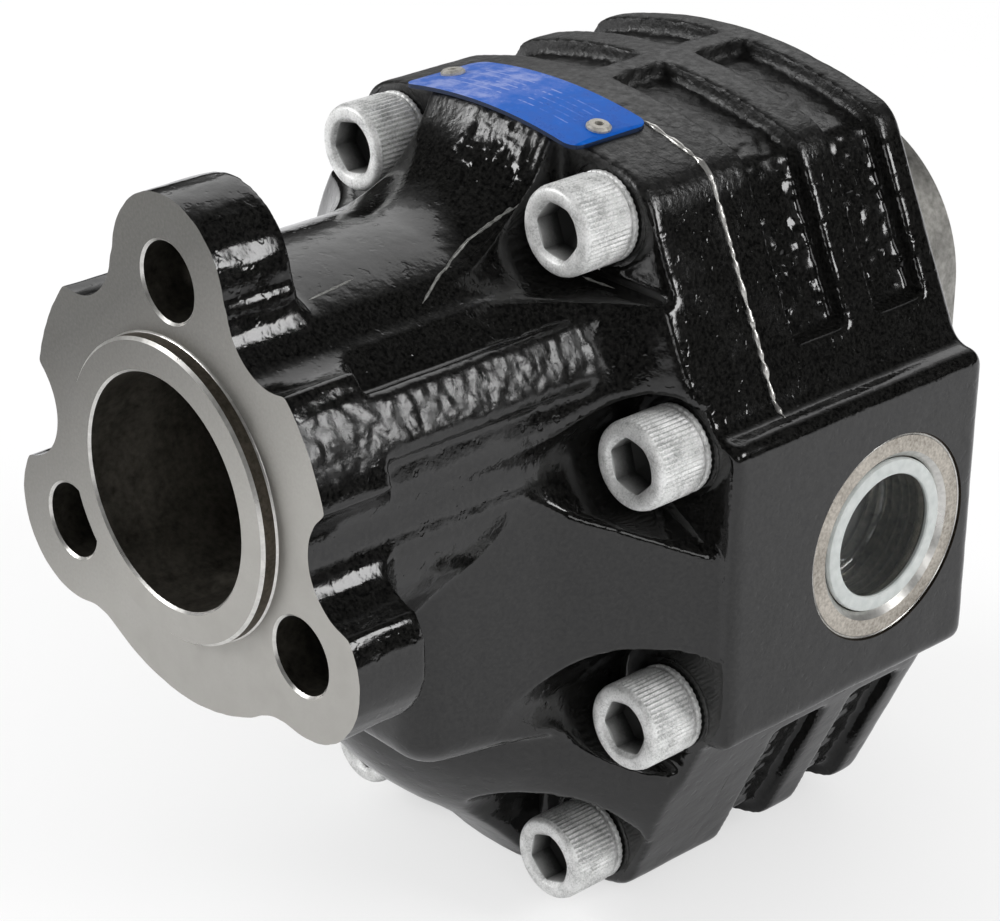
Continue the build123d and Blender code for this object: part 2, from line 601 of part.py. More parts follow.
def drive_gear_shaft():
    shaft = slab(gear_sketch(-90), GEAR_FRONT_Y, GEAR_REAR_Y)
    shaft += journal(SPLINE_END_Y)
    keys = Circle(SPLINE_ROOT_R)
    key = Pos(SPLINE_TIP_R / 2, 0) * Rectangle(SPLINE_TIP_R + 2 * OVERCUT, SPLINE_KEY_WIDTH)
    for i in range(SPLINE_KEYS):
        keys += Rot(0, 0, 90 + 360 / SPLINE_KEYS * i) * key
    start = SPLINE_START_Y
    end = SPLINE_END_Y + OVERCUT
    tip = SPLINE_TIP_R - SPLINE_CHAMFER
    blank = turned([(start, 0), (start, tip), (start + SPLINE_CHAMFER, SPLINE_TIP_R), (end, SPLINE_TIP_R),
                    (end, 0)])
    shaft += slab(keys, start, end) & blank
    drill = turned([(start - OVERCUT, 0), (start - OVERCUT, CENTRE_DRILL_R), (start, CENTRE_DRILL_R),
                    (start + CENTRE_DRILL_DEPTH, 0)])
    return shaft - drill


def driven_gear_shaft():
    half_tooth = 180 / GEAR_TEETH
    shaft = journal(FRONT_BUSH_Y + JOURNAL_END_PLAY)
    shaft += slab(gear_sketch(90 + half_tooth), GEAR_FRONT_Y, GEAR_REAR_Y)
    return Pos(0, 0, AXES_Z[1]) * shaft


def seal_track(radius, width, bridge):
    # two arcs round the journals, open towards the left port, optionally joined between the gears
    track = Sketch()
    for z in AXES_Z:
        track += Pos(0, z) * (Circle(radius + width) - Circle(radius))
    track -= Pos(PLATE_SEAL_END_X - radius, MID_Z) * Rectangle(2 * radius, 3 * GEAR_AXIS_GAP)
    gap = GEAR_AXIS_GAP - 2 * radius - width
    if bridge:
        track += Pos(width / 2, MID_Z) * Rectangle(width, gap)
    else:
        end = PLATE_SEAL_WIDTH + SEAL_PLAY
        track -= Pos(end - radius / 2, MID_Z) * Rectangle(radius, gap + 3 * width)
    return track


def wear_plate(y_start, back):
    # back is the side away from the gears: -1 for the front plate, 1 for the rear plate
    plate = figure_eight(CHAMBER_R - PLATE_CLEARANCE) - figure_eight(JOURNAL_R + PLATE_HOLE_CLEARANCE)
    solid = slab(plate, y_start, y_start + PLATE_THICKNESS)
    track = seal_track(PLATE_SEAL_R - SEAL_PLAY, PLATE_SEAL_WIDTH + BACKUP_WIDTH + 3 * SEAL_PLAY, True)
    if back < 0:
        solid -= slab(track, y_start - OVERCUT, y_start + PLATE_GROOVE_DEPTH)
        relief_start = y_start + PLATE_THICKNESS - PLATE_RELIEF_DEPTH
    else:
        end = y_start + PLATE_THICKNESS
        solid -= slab(track, end - PLATE_GROOVE_DEPTH, end + OVERCUT)
        relief_start = y_start - OVERCUT
    for side in (1, -1):
        relief = Pos(side * PLATE_RELIEF_X, MID_Z) * Rectangle(PLATE_RELIEF_WIDTH, PLATE_RELIEF_HEIGHT)
        solid -= slab(relief, relief_start, relief_start + PLATE_RELIEF_DEPTH + OVERCUT)
    return solid


def plate_seal(y_start):
    return slab(seal_track(PLATE_SEAL_R, PLATE_SEAL_WIDTH, True), y_start, y_start + PLATE_GROOVE_DEPTH)


def backup_rings(y_start):
    return slab(seal_track(BACKUP_R, BACKUP_WIDTH, False), y_start, y_start + PLATE_GROOVE_DEPTH)


def shaft_seal(y_start, facing):
    # channel section with a sprung lip on the shaft; facing 1 turns the open side towards the gears
    outer = NECK_BORE_R
    inner = outer - SEAL_SHELL
    lip = BUSH_INNER_R
    back = lip + SEAL_LIP_RISE + SEAL_LIP_WALL
    section = [(0, lip + SEAL_FLOOR_CLEARANCE), (0, outer), (SEAL_WIDTH, outer), (SEAL_WIDTH, inner),
               (SEAL_FLOOR, inner), (SEAL_FLOOR, back + SEAL_LIP_RISE), (SEAL_LIP_END_Y, back),
               (SEAL_LIP_END_Y, lip + SEAL_LIP_RISE), (SEAL_LIP_Y, lip),
               (SEAL_FLOOR, lip + 2 * SEAL_LIP_RISE)]
    if facing < 0:
        section = [(SEAL_WIDTH - y, radius) for y, radius in section]
    return turned([(y_start + y, radius) for y, radius in section])


def seal_circlip():
    outer = CIRCLIP_GROOVE_R - SEAL_PLAY
    plate = Circle(outer) - Pos(0, CIRCLIP_OFFSET) * Circle(outer - CIRCLIP_WIDTH + CIRCLIP_OFFSET)
    ears = [(side * CIRCLIP_EAR_X, CIRCLIP_EAR_DEPTH - outer) for side in (1, -1)]
    for ear in ears:
        plate += Pos(*ear) * Circle(CIRCLIP_EAR_R)
    plate -= Pos(0, -outer) * Rectangle(CIRCLIP_OPENING, 4 * CIRCLIP_WIDTH)
    for ear in ears:
        plate -= Pos(*ear) * Circle(CIRCLIP_EYE_R)
    return slab(plate, CIRCLIP_Y, CIRCLIP_Y + CIRCLIP_THICKNESS)


def cover_o_ring():
    width = O_RING_GROOVE_WIDTH - 2 * SEAL_PLAY
    band = obround(O_RING_R + SEAL_PLAY + width) - obround(O_RING_R + SEAL_PLAY)
    return slab(band, JOINT_Y, JOINT_Y + O_RING_GROOVE_DEPTH)


def dowel_pins():
    start = JOINT_Y - DOWEL_LENGTH / 2
    end = JOINT_Y + DOWEL_LENGTH / 2
    tip = DOWEL_R - DOWEL_CHAMFER
    pin = turned([(start, 0), (start, tip), (start + DOWEL_CHAMFER, DOWEL_R),
                  (end - DOWEL_CHAMFER, DOWEL_R), (end, tip), (end, 0)])
    return Compound(children=[Pos(side * DOWEL_X, 0, MID_Z) * pin for side in (1, -1)])


def crown_point(x):
    # height and slope angle of the crown at a sideways distance from its middle
    tilt = asin(x / CROWN_R)
    centre = MID_Z + CROWN_APEX - CROWN_R / cos(CROWN_TILT)
    return centre + CROWN_R * cos(tilt), degrees(tilt)


def rivet_axis(side):
    z, tilt = crown_point(side * RIVET_X)
    middle_y = (NAMEPLATE_START_Y + NAMEPLATE_END_Y) / 2
    return Pos(side * RIVET_X, middle_y, z) * Rot(0, tilt, 0)


def nameplate():
    length = NAMEPLATE_END_Y - NAMEPLATE_START_Y
    shell = slab(body_outline(NAMEPLATE_THICKNESS) - body_outline(), NAMEPLATE_START_Y, NAMEPLATE_END_Y)
    blank = RectangleRounded(2 * NAMEPLATE_X, length, NAMEPLATE_CORNER_R)
    blank = extrude(Pos(0, NAMEPLATE_START_Y + length / 2, 0) * blank, amount=100)
    plate = shell & blank
    for side in (1, -1):
        plate -= rivet_axis(side) * Cylinder(RIVET_SHANK_R, 2 * (NAMEPLATE_THICKNESS + OVERCUT))
    return plate


def nameplate_rivets():
    low = -RIVET_LENGTH
    floor = low + RIVET_FLOOR
    top = NAMEPLATE_THICKNESS + RIVET_HEAD_HEIGHT
    section = [(RIVET_BORE_R, floor), (0, floor), (0, low), (RIVET_SHANK_R, low),
               (RIVET_SHANK_R, NAMEPLATE_THICKNESS), (RIVET_HEAD_R, NAMEPLATE_THICKNESS),
               (RIVET_HEAD_R, top - RIVET_EDGE), (RIVET_HEAD_R - RIVET_EDGE, top), (RIVET_BORE_R, top)]
    rivet = revolve(make_face(Plane.XZ * Polyline(*section, close=True)), Axis.Z)
    return Compound(children=[rivet_axis(side) * rivet for side in (1, -1)])


def port_plug(side):
    face = PLUG_FACE_X
    inner = PLUG_CUP_R - PLUG_CUP_WALL
    rim_back = face - PLUG_RIM_THICKNESS
    end = face - PLUG_CUP_DEPTH
    floor = end + PLUG_FLOOR
    return turned_on_port([
        (face, inner + PLUG_MOUTH_EDGE), (face, PLUG_RIM_R - PLUG_RIM_EDGE),
        (face - PLUG_RIM_EDGE, PLUG_RIM_R), (rim_back, PLUG_RIM_R), (rim_back, PLUG_CUP_R),
        (end + PLUG_END_CHAMFER, PLUG_CUP_R), (end, PLUG_CUP_R - PLUG_END_CHAMFER), (end, 0), (floor, 0),
        (floor, inner - PLUG_ROOT_CHAMFER), (floor + PLUG_ROOT_CHAMFER, inner),
        (face - PLUG_MOUTH_EDGE, inner)], side)


os.makedirs("parts", exist_ok=True)
nodes = {
    "front_cover": front_cover(),
    "pump_body": pump_body(),
    "cover_screws": cover_screws(),
    "lock_washers": lock_washers(),
    "drive_gear_shaft": drive_gear_shaft(),
    "driven_gear_shaft": driven_gear_shaft(),
    "front_wear_plate": wear_plate(FRONT_PLATE_Y, -1),
    "rear_wear_plate": wear_plate(REAR_PLATE_Y, 1),
    "front_plate_seal": plate_seal(FRONT_PLATE_Y),
    "rear_plate_seal": plate_seal(REAR_PLATE_Y + PLATE_THICKNESS - PLATE_GROOVE_DEPTH),
    "front_backup_rings": backup_rings(FRONT_PLATE_Y),
    "rear_backup_rings": backup_rings(REAR_PLATE_Y + PLATE_THICKNESS - PLATE_GROOVE_DEPTH),
    "drive_front_bush": ring(BUSH_OUTER_R, BUSH_INNER_R, FRONT_BUSH_Y, JOINT_Y),
    "driven_front_bush": ring(BUSH_OUTER_R, BUSH_INNER_R, FRONT_BUSH_Y, JOINT_Y, AXES_Z[1]),
    "drive_rear_bush": ring(BUSH_OUTER_R, BUSH_INNER_R, CHAMBER_END_Y, REAR_BUSH_END_Y),
    "driven_rear_bush": ring(BUSH_OUTER_R, BUSH_INNER_R, CHAMBER_END_Y, REAR_BUSH_END_Y, AXES_Z[1]),
    "outer_shaft_seal": shaft_seal(OUTER_SEAL_Y, -1),
    "inner_shaft_seal": shaft_seal(INNER_SEAL_Y, 1),
    "seal_circlip": seal_circlip(),
    "cover_o_ring": cover_o_ring(),
    "dowel_pins": dowel_pins(),
    "nameplate": nameplate(),
    "nameplate_rivets": nameplate_rivets(),
    "right_port_plug": port_plug(1),
    "left_port_plug": port_plug(-1),
}
for name, shape in nodes.items():
    export_step(shape, "parts/" + name + ".step")
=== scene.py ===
import math

import bmesh
import bpy
import numpy as np
from mathutils import Matrix, Vector, noise


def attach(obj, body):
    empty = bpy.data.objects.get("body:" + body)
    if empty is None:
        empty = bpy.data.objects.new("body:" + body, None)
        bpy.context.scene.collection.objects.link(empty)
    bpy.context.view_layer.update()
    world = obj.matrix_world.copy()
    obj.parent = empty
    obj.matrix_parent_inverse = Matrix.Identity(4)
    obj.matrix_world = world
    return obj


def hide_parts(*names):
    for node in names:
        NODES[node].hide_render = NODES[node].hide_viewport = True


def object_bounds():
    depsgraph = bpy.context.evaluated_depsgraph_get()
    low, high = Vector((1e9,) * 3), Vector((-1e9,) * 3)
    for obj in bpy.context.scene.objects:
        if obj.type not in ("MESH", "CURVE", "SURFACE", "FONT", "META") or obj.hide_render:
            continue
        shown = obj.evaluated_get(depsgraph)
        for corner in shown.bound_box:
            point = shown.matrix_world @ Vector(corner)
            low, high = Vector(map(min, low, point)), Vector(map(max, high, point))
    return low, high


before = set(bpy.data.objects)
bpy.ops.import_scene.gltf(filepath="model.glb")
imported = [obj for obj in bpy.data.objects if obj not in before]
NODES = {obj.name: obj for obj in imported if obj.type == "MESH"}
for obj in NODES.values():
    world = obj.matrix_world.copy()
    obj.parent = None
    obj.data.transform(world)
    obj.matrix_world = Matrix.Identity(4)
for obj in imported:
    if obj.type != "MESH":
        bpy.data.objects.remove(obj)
CAD_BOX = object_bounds()
MM = 0.001

# Sizes of the gear pump in millimetres
AXIS_GAP = 54.96
MID_Z = -AXIS_GAP / 2
PILOT_R = 30.0
PILOT_HEIGHT = 3.3
MOUNT_CIRCLE_R = 41.2
MOUNT_HOLE_R = 7.7
MOUNT_HOLE_END_Y = 19.0
PAD_R = 45.0
PAD_LOW_ANGLE = 19.7
PAD_HIGH_ANGLE = 37.0
PAD_END_Y = 70.0
NECK_BORE_R = 22.5
MOUTH_BORE_R = 23.3
SEAL_FLOOR_Y = 66.8
COVER_FACE_Y = 80.0
JOINT_Y = 97.3
BODY_END_Y = 151.4
BOSS_R = 32.2
BOSS_END_Y = 184.0
CHAMBER_R = 32.36
CHAMBER_END_Y = 143.3
BUSH_R = 17.04
BUSH_FRONT_Y = 69.3
BUSH_REAR_Y = 171.3
SCREW_SEAT_Y = 80.5
WASHER_THICKNESS = 1.6
HEAD_R = 9.0
HEAD_HEIGHT = 12.0
PORT_Y = 124.5
BLOCK_X = 66.7
SPOTFACE_R = 22.15
THREAD_R = 16.62
THREAD_CORE_R = 15.2
THREAD_PITCH = 2.309
THREAD_DEPTH = 20.0
PASSAGE_R = 12.5
CROWN_TOP_Z = 57.0
SEAT_X = BLOCK_X - 0.5
DOWEL_X = 46.0
DOWEL_R = 4.0
RIVET_X = 20.8
RIVET_Y = 86.4
SCREW_HOLE_R = 6.75
SCREW_SPOTFACE_R = 10.2
TAPPED_HOLE_R = 6.05
SHANK_R = 5.95
SHANK_LENGTH = 45
PLAIN_SHANK = 12

# Voxel of the castings' skin, and the share of its faces that stays
VOXEL = 0.75
THIN = 0.45

SCREW_PLACES = ((29.8, 69.4), (50.8, 28.5))
SCREWS = [(sx * x, MID_Z + sz * h) for x, h in SCREW_PLACES for sx in (1, -1) for sz in (1, -1)]
SCREW_TURNS = (8, 40, -12, 22, 14, 51, -5, 33)
MOUNT_HOLES = [(MOUNT_CIRCLE_R * math.cos(a), MOUNT_CIRCLE_R * math.sin(a))
               for a in map(math.radians, (90, 210, 330))]


# Mesh helpers
def linked(name, data):
    obj = bpy.data.objects.new(name, data)
    bpy.context.scene.collection.objects.link(obj)
    return obj


def mesh_object(name, verts, faces, smooth=True):
    data = bpy.data.meshes.new(name)
    data.from_pydata([tuple(v) for v in verts], [], faces)
    data.update()
    if smooth:
        data.polygons.foreach_set("use_smooth", [True] * len(data.polygons))
    return linked(name, data)


def lathe_mesh(profile, segments=96, close=True):
    # profile: (along, radius) pairs in millimetres of a closed section, spun about the local Y axis
    verts, faces, rings = [], [], []
    for along, radius in profile:
        if radius <= 1e-6:
            rings.append([len(verts)])
            verts.append((0, along * MM, 0))
        else:
            start = len(verts)
            for i in range(segments):
                a = 2 * math.pi * i / segments
                verts.append((radius * math.sin(a) * MM, along * MM, radius * math.cos(a) * MM))
            rings.append(list(range(start, start + segments)))
    pairs = list(zip(rings, rings[1:] + rings[:1])) if close else list(zip(rings, rings[1:]))
    for low, high in pairs:
        if len(low) == 1 and len(high) == 1:
            continue
        for i in range(segments):
            j = (i + 1) % segments
            if len(low) == 1:
                faces.append((low[0], high[j], high[i]))
            elif len(high) == 1:
                faces.append((low[i], low[j], high[0]))
            else:
                faces.append((low[i], low[j], high[j], high[i]))
    return verts, faces


def fix_normals(obj):
    bm = bmesh.new()
    bm.from_mesh(obj.data)
    bmesh.ops.remove_doubles(bm, verts=bm.verts, dist=1e-7)
    bmesh.ops.recalc_face_normals(bm, faces=bm.faces)
    bm.to_mesh(obj.data)
    bm.free()
    return obj


def place(obj, x=0.0, z=0.0, y=0.0, turn=None):
    # move by millimetres; turn is an optional rotation matrix applied first
    obj.data.transform(Matrix.Translation((x * MM, y * MM, z * MM)) @ (turn or Matrix.Identity(4)))
    return obj


def lathe(name, profile, x=0.0, z=0.0, segments=96):
    return place(fix_normals(mesh_object(name, *lathe_mesh(profile, segments))), x, z)


def rod(name, radius, y0, y1, x=0.0, z=0.0, segments=96):
    return lathe(name, [(y0, 0), (y0, radius), (y1, radius), (y1, 0)], x, z, segments)


def box(name, low, high):
    (x0, y0, z0), (x1, y1, z1) = low, high
    v = [(x * MM, y * MM, z * MM) for x in (x0, x1) for y in (y0, y1) for z in (z0, z1)]
    f = [(0, 1, 3, 2), (4, 6, 7, 5), (0, 4, 5, 1), (2, 3, 7, 6), (0, 2, 6, 4), (1, 5, 7, 3)]
    return fix_normals(mesh_object(name, v, f, smooth=False))


TO_PORT = {1: Matrix.Rotation(-math.pi / 2, 4, "Z"), -1: Matrix.Rotation(math.pi / 2, 4, "Z")}


def port_lathe(name, profile, side, segments=96):
    # profile along the port's own outward axis: (distance from the part's centre plane, radius)
    obj = fix_normals(mesh_object(name, *lathe_mesh(profile, segments)))
    return place(obj, 0, MID_Z, PORT_Y, TO_PORT[side])


def obround_prism(name, radius, y0, y1, steps=64, chamfer=0.0):
    def loop(r, y):
        pts = []
        for k in range(steps + 1):
            a = math.pi * k / steps
            pts.append((r * math.cos(a) * MM, y * MM, r * math.sin(a) * MM))
        for k in range(steps + 1):
            a = math.pi + math.pi * k / steps
            pts.append((r * math.cos(a) * MM, y * MM, (r * math.sin(a) - AXIS_GAP) * MM))
        return pts
    loops = [loop(radius, y0), loop(radius, y1 - chamfer)]
    if chamfer:
        loops.append(loop(radius - chamfer, y1))
    n = len(loops[0])
    verts = [p for lp in loops for p in lp]
    faces = [tuple(range(n)), tuple(range(len(verts) - 1, len(verts) - n - 1, -1))]
    for k in range(len(loops) - 1):
        for i in range(n):
            j = (i + 1) % n
            faces.append((k * n + i, k * n + j, (k + 1) * n + j, (k + 1) * n + i))
    return fix_normals(mesh_object(name, verts, faces))


def cad_copy(node, name):
    data = NODES[node].data.copy()
    data.materials.clear()
    obj = linked(name, data)
    bm = bmesh.new()
    bm.from_mesh(data)
    bmesh.ops.remove_doubles(bm, verts=bm.verts, dist=1e-6)
    bm.to_mesh(data)
    bm.free()
    return obj


def bake(obj):
    # replace the object's mesh by what its modifiers give
    deps = bpy.context.evaluated_depsgraph_get()
    shown = obj.evaluated_get(deps)
    data = bpy.data.meshes.new_from_object(shown, preserve_all_data_layers=True, depsgraph=deps)
    old = obj.data
    obj.modifiers.clear()
    obj.data = data
    bpy.data.meshes.remove(old)


def discard(obj):
    data = obj.data
    bpy.data.objects.remove(obj)
    bpy.data.meshes.remove(data)


def combine(obj, other, operation):
    bpy.context.view_layer.update()
    mod = obj.modifiers.new("cut", "BOOLEAN")
    mod.operation = operation
    mod.object = other
    mod.solver = "MANIFOLD"
    mod.material_mode = "TRANSFER"
    bake(obj)
    discard(other)


def cut(obj, cutter, material):
    cutter.data.materials.clear()
    cutter.data.materials.append(material)
    combine(obj, cutter, "DIFFERENCE")


def by_slope(obj, flat, slanted, round_wall):
    # materials of a turned piece by how its faces lie to the Y axis
    for mat in (flat, slanted, round_wall):
        obj.data.materials.append(mat)
    for face in obj.data.polygons:
        lean = abs(face.normal.y)
        face.material_index = 0 if lean > 0.97 else 1 if lean > 0.2 else 2


def join(name, objs):
    bm = bmesh.new()
    for piece in objs:
        bm.from_mesh(piece.data)
        discard(piece)
    data = bpy.data.meshes.new(name)
    bm.to_mesh(data)
    bm.free()
    return linked(name, data)


def stretched_slice(source, y0, y1, new0, new1):
    # the part of a prismatic stretch between two stations, drawn out to two others
    slab = cad_copy(source, "slice")
    combine(slab, box("slice_box", (-200, y0, -200), (200, y1, 200)), "INTERSECT")
    co = np.empty(len(slab.data.vertices) * 3)
    slab.data.vertices.foreach_get("co", co)
    co = co.reshape(-1, 3)
    co[:, 1] = (new0 + (co[:, 1] / MM - y0) * (new1 - new0) / (y1 - y0)) * MM
    slab.data.vertices.foreach_set("co", co.ravel())
    slab.data.update()
    return slab


def as_cast(obj, rounds):
    # sand-cast skin with every edge softened
    mod = obj.modifiers.new("skin", "REMESH")
    mod.mode = "VOXEL"
    mod.voxel_size = VOXEL * MM
    mod.use_smooth_shade = True
    mod = obj.modifiers.new("soften", "SMOOTH")
    mod.factor = 0.5
    mod.iterations = rounds
    bake(obj)


def coordinates(obj):
    co = np.empty(len(obj.data.vertices) * 3)
    obj.data.vertices.foreach_get("co", co)
    return co.reshape(-1, 3) / MM


def set_coordinates(obj, co):
    obj.data.vertices.foreach_set("co", (co * MM).ravel())
    obj.data.update()


def keep_inside(obj):
    # the rough skin never reaches past the part's own box
    low, high = (np.array(v) / MM for v in CAD_BOX)
    set_coordinates(obj, np.clip(coordinates(obj), low + 0.02, high - 0.02))


def normals(obj):
    no = np.empty(len(obj.data.vertices) * 3)
    obj.data.vertices.foreach_get("normal", no)
    return no.reshape(-1, 3)


def ramp(value, low, high):
    t = np.clip((value - low) / (high - low), 0, 1)
    return t * t * (3 - 2 * t)


def lumps(co, size, seed):
    # smooth noise, about -1 to 1, at a feature size in millimetres
    shift = Vector((seed * 17.3, seed * 5.1, seed * 9.7))
    return np.array([noise.noise(Vector(p) / size + shift) for p in co])


def thin(obj):
    mod = obj.modifiers.new("thin", "DECIMATE")
    mod.ratio = THIN
    bake(obj)


def shade(obj, angle=32):
    obj.data.polygons.foreach_set("use_smooth", [True] * len(obj.data.polygons))
    obj.data.set_sharp_from_angle(angle=math.radians(angle))
    obj.data.update()


# Materials
def new_material(name):
    mat = bpy.data.materials.new(name)
    mat.use_nodes = True
    tree = mat.node_tree
    return mat, tree, tree.nodes["Principled BSDF"]


def add(tree, kind, **settings):
    n = tree.nodes.new(kind)
    for k, v in settings.items():
        if k in n.inputs:
            n.inputs[k].default_value = v
        else:
            setattr(n, k, v)
    return n


def noise_node(tree, coord, scale, detail=3.0, rough=0.5, distortion=0.0):
    n = add(tree, "ShaderNodeTexNoise", Scale=scale, Detail=detail, Roughness=rough, Distortion=distortion)
    tree.links.new(coord, n.inputs["Vector"])
    return n.outputs["Fac"]


def colour_ramp(tree, value, stops):
    n = tree.nodes.new("ShaderNodeValToRGB")
    tree.links.new(value, n.inputs["Fac"])
    while len(n.color_ramp.elements) < len(stops):
        n.color_ramp.elements.new(0.5)
    for e, (pos, colour) in zip(n.color_ramp.elements, stops):
        e.position = pos
        e.color = tuple(colour) + (1,) if len(colour) == 3 else colour
    return n.outputs["Color"]


def bump(tree, shader, layers):
    # layers: (height output, strength, distance in millimetres)
    last = None
    for height, strength, distance in layers:
        n = add(tree, "ShaderNodeBump", Distance=distance * MM)
        if isinstance(strength, float):
            n.inputs["Strength"].default_value = strength
        else:
            tree.links.new(strength, n.inputs["Strength"])
        tree.links.new(height, n.inputs["Height"])
        if last:
            tree.links.new(last, n.inputs["Normal"])
        last = n.outputs["Normal"]
    tree.links.new(last, shader.inputs["Normal"])


def math_node(tree, operation, *values):
    n = add(tree, "ShaderNodeMath", operation=operation)
    for socket, value in zip(n.inputs, values):
        if isinstance(value, (int, float)):
            socket.default_value = value
        else:
            tree.links.new(value, socket)
    return n.outputs[0]


def span(tree, value, low, high):
    # 0 below the lower bound, 1 above the upper one
    n = add(tree, "ShaderNodeMapRange")
    n.inputs["From Min"].default_value = low
    n.inputs["From Max"].default_value = high
    tree.links.new(value, n.inputs["Value"])
    return n.outputs["Result"]


def product(tree, values):
    total = values[0]
    for value in values[1:]:
        total = math_node(tree, "MULTIPLY", total, value)
    return total


def blend(tree, share, low, high):
    n = add(tree, "ShaderNodeMix", data_type="FLOAT")
    if isinstance(share, float):
        n.inputs[0].default_value = share
    else:
        tree.links.new(share, n.inputs[0])
    tree.links.new(low, n.inputs[2])
    tree.links.new(high, n.inputs[3])
    return n.outputs[0]


def object_coord(tree):
    return tree.nodes.new("ShaderNodeTexCoord").outputs["Object"]


def separate(tree, coord):
    parts = tree.nodes.new("ShaderNodeSeparateXYZ")
    tree.links.new(coord, parts.inputs["Vector"])
    return parts


def pad_zone(tree, parts):
    # where the pebbled pads of the neck are
    x = math_node(tree, "ABSOLUTE", parts.outputs["X"])
    y, z = parts.outputs["Y"], parts.outputs["Z"]
    squares = math_node(tree, "ADD", product(tree, [x, x]), product(tree, [z, z]))
    radius = math_node(tree, "SQRT", squares)
    low_edge = product(tree, [x, math.tan(math.radians(PAD_LOW_ANGLE))])
    high_edge = product(tree, [x, math.tan(math.radians(PAD_HIGH_ANGLE))])
    insides = (math_node(tree, "SUBTRACT", z, low_edge),
               math_node(tree, "SUBTRACT", high_edge, z),
               math_node(tree, "SUBTRACT", PAD_END_Y * MM, y))
    zones = [span(tree, radius, (PAD_R - 1.8) * MM, (PAD_R - 0.8) * MM)]
    zones += [span(tree, inside, 0.0, 0.002) for inside in insides]
    return product(tree, zones)


def paint_material():
    # thick gloss black over a sand-cast skin: orange peel and small pits, thinner and sandy over the crown
    mat, tree, shader = new_material("gloss_black_cast_paint")
    co = object_coord(tree)
    parts = separate(tree, co)
    shader.inputs["IOR"].default_value = 1.52
    shades = [(0.36, (0.0012, 0.0012, 0.0012)), (0.64, (0.011, 0.0108, 0.0102))]
    tree.links.new(colour_ramp(tree, noise_node(tree, co, 1300, 3, 0.7), shades), shader.inputs["Base Color"])
    above = span(tree, parts.outputs["Z"], 0.044, 0.051)
    behind = span(tree, parts.outputs["Y"], 0.07, 0.08)
    crown = product(tree, [above, behind])
    gloss = colour_ramp(tree, noise_node(tree, co, 160, 5, 0.6), [(0.35, (0.05,) * 3), (0.7, (0.17,) * 3)])
    dull = colour_ramp(tree, noise_node(tree, co, 600, 4, 0.6), [(0.35, (0.36,) * 3), (0.7, (0.56,) * 3)])
    rough = blend(tree, crown, gloss, dull)
    pads = pad_zone(tree, parts)
    pebbled = colour_ramp(tree, noise_node(tree, co, 300, 3), [(0.35, (0.2,) * 3), (0.7, (0.34,) * 3)])
    tree.links.new(blend(tree, pads, rough, pebbled), shader.inputs["Roughness"])
    wave = noise_node(tree, co, 95, 2, 0.5)
    peel = noise_node(tree, co, 330, 2, 0.5)
    sand = noise_node(tree, co, 1400, 3, 0.6)
    coarse = noise_node(tree, co, 620, 3, 0.55)
    pits = colour_ramp(tree, noise_node(tree, co, 420, 2, 0.5), [(0.3, (0.0,) * 3), (0.38, (1.0,) * 3)])
    bump(tree, shader, [(wave, 0.35, 0.5), (peel, 0.5, 0.16), (sand, 0.5, 0.035), (pits, 0.5, 0.06),
                        (coarse, crown, 0.3), (coarse, pads, 0.08)])
    return mat


def machined_iron(name, dark, light, rough_low, rough_high, turned=False, fine=700, slope=None):
    # bare grey iron: mottled by the graphite and by handling, with a fine cut pattern
    mat, tree, shader = new_material(name)
    co = object_coord(tree)
    shader.inputs["Metallic"].default_value = 0.85
    mottle = noise_node(tree, co, 140, 6, 0.62)
    spots = noise_node(tree, co, fine, 3, 0.6)
    tone = blend(tree, 0.55, mottle, spots)
    stops = [(0.34, dark), (0.62, light)]
    if slope:
        # painted sheen: one side of the face is lighter than the other, as the light's reflection falls
        # across it
        direction, low, high, share = slope
        across = add(tree, "ShaderNodeVectorMath", operation="DOT_PRODUCT")
        across.inputs[1].default_value = direction
        tree.links.new(co, across.inputs[0])
        painted_sheen = span(tree, across.outputs["Value"], low * MM, high * MM)
        tone = blend(tree, share, tone, painted_sheen)
        stops = [(0.16, dark), (0.8, light)]
    tree.links.new(colour_ramp(tree, tone, stops), shader.inputs["Base Color"])
    rough = colour_ramp(tree, mottle, [(0.3, (rough_low,) * 3), (0.7, (rough_high,) * 3)])
    tree.links.new(rough, shader.inputs["Roughness"])
    layers = [(mottle, 0.12, 0.04), (spots, 0.35, 0.02)]
    if turned:
        parts = separate(tree, co)
        radius = add(tree, "ShaderNodeCombineXYZ")
        tree.links.new(parts.outputs["X"], radius.inputs["X"])
        tree.links.new(parts.outputs["Z"], radius.inputs["Y"])
        length = add(tree, "ShaderNodeVectorMath", operation="LENGTH")
        tree.links.new(radius.outputs[0], length.inputs[0])
        line = add(tree, "ShaderNodeCombineXYZ")
        tree.links.new(length.outputs["Value"], line.inputs["X"])
        tree.links.new(parts.outputs["Y"], line.inputs["Y"])
        rings = noise_node(tree, line.outputs[0], 2600, 2, 0.6)
        layers.append((rings, 0.3, 0.012))
    bump(tree, shader, layers)
    return mat


def flake_steel():
    # zinc flake coating: matt light grey with a faint grain and darker scuffed spots
    mat, tree, shader = new_material("zinc_flake_coating")
    co = object_coord(tree)
    shader.inputs["Metallic"].default_value = 0.4
    grain = noise_node(tree, co, 2200, 4, 0.7)
    cloud = noise_node(tree, co, 300, 5, 0.65)
    shades = [(0.36, (0.34, 0.343, 0.34)), (0.5, (0.68, 0.683, 0.675)), (0.66, (0.9, 0.902, 0.895))]
    tree.links.new(colour_ramp(tree, blend(tree, 0.5, grain, cloud), shades), shader.inputs["Base Color"])
    rough = colour_ramp(tree, grain, [(0.3, (0.4,) * 3), (0.7, (0.6,) * 3)])
    tree.links.new(rough, shader.inputs["Roughness"])
    bump(tree, shader, [(grain, 0.5, 0.03), (cloud, 0.25, 0.05)])
    return mat


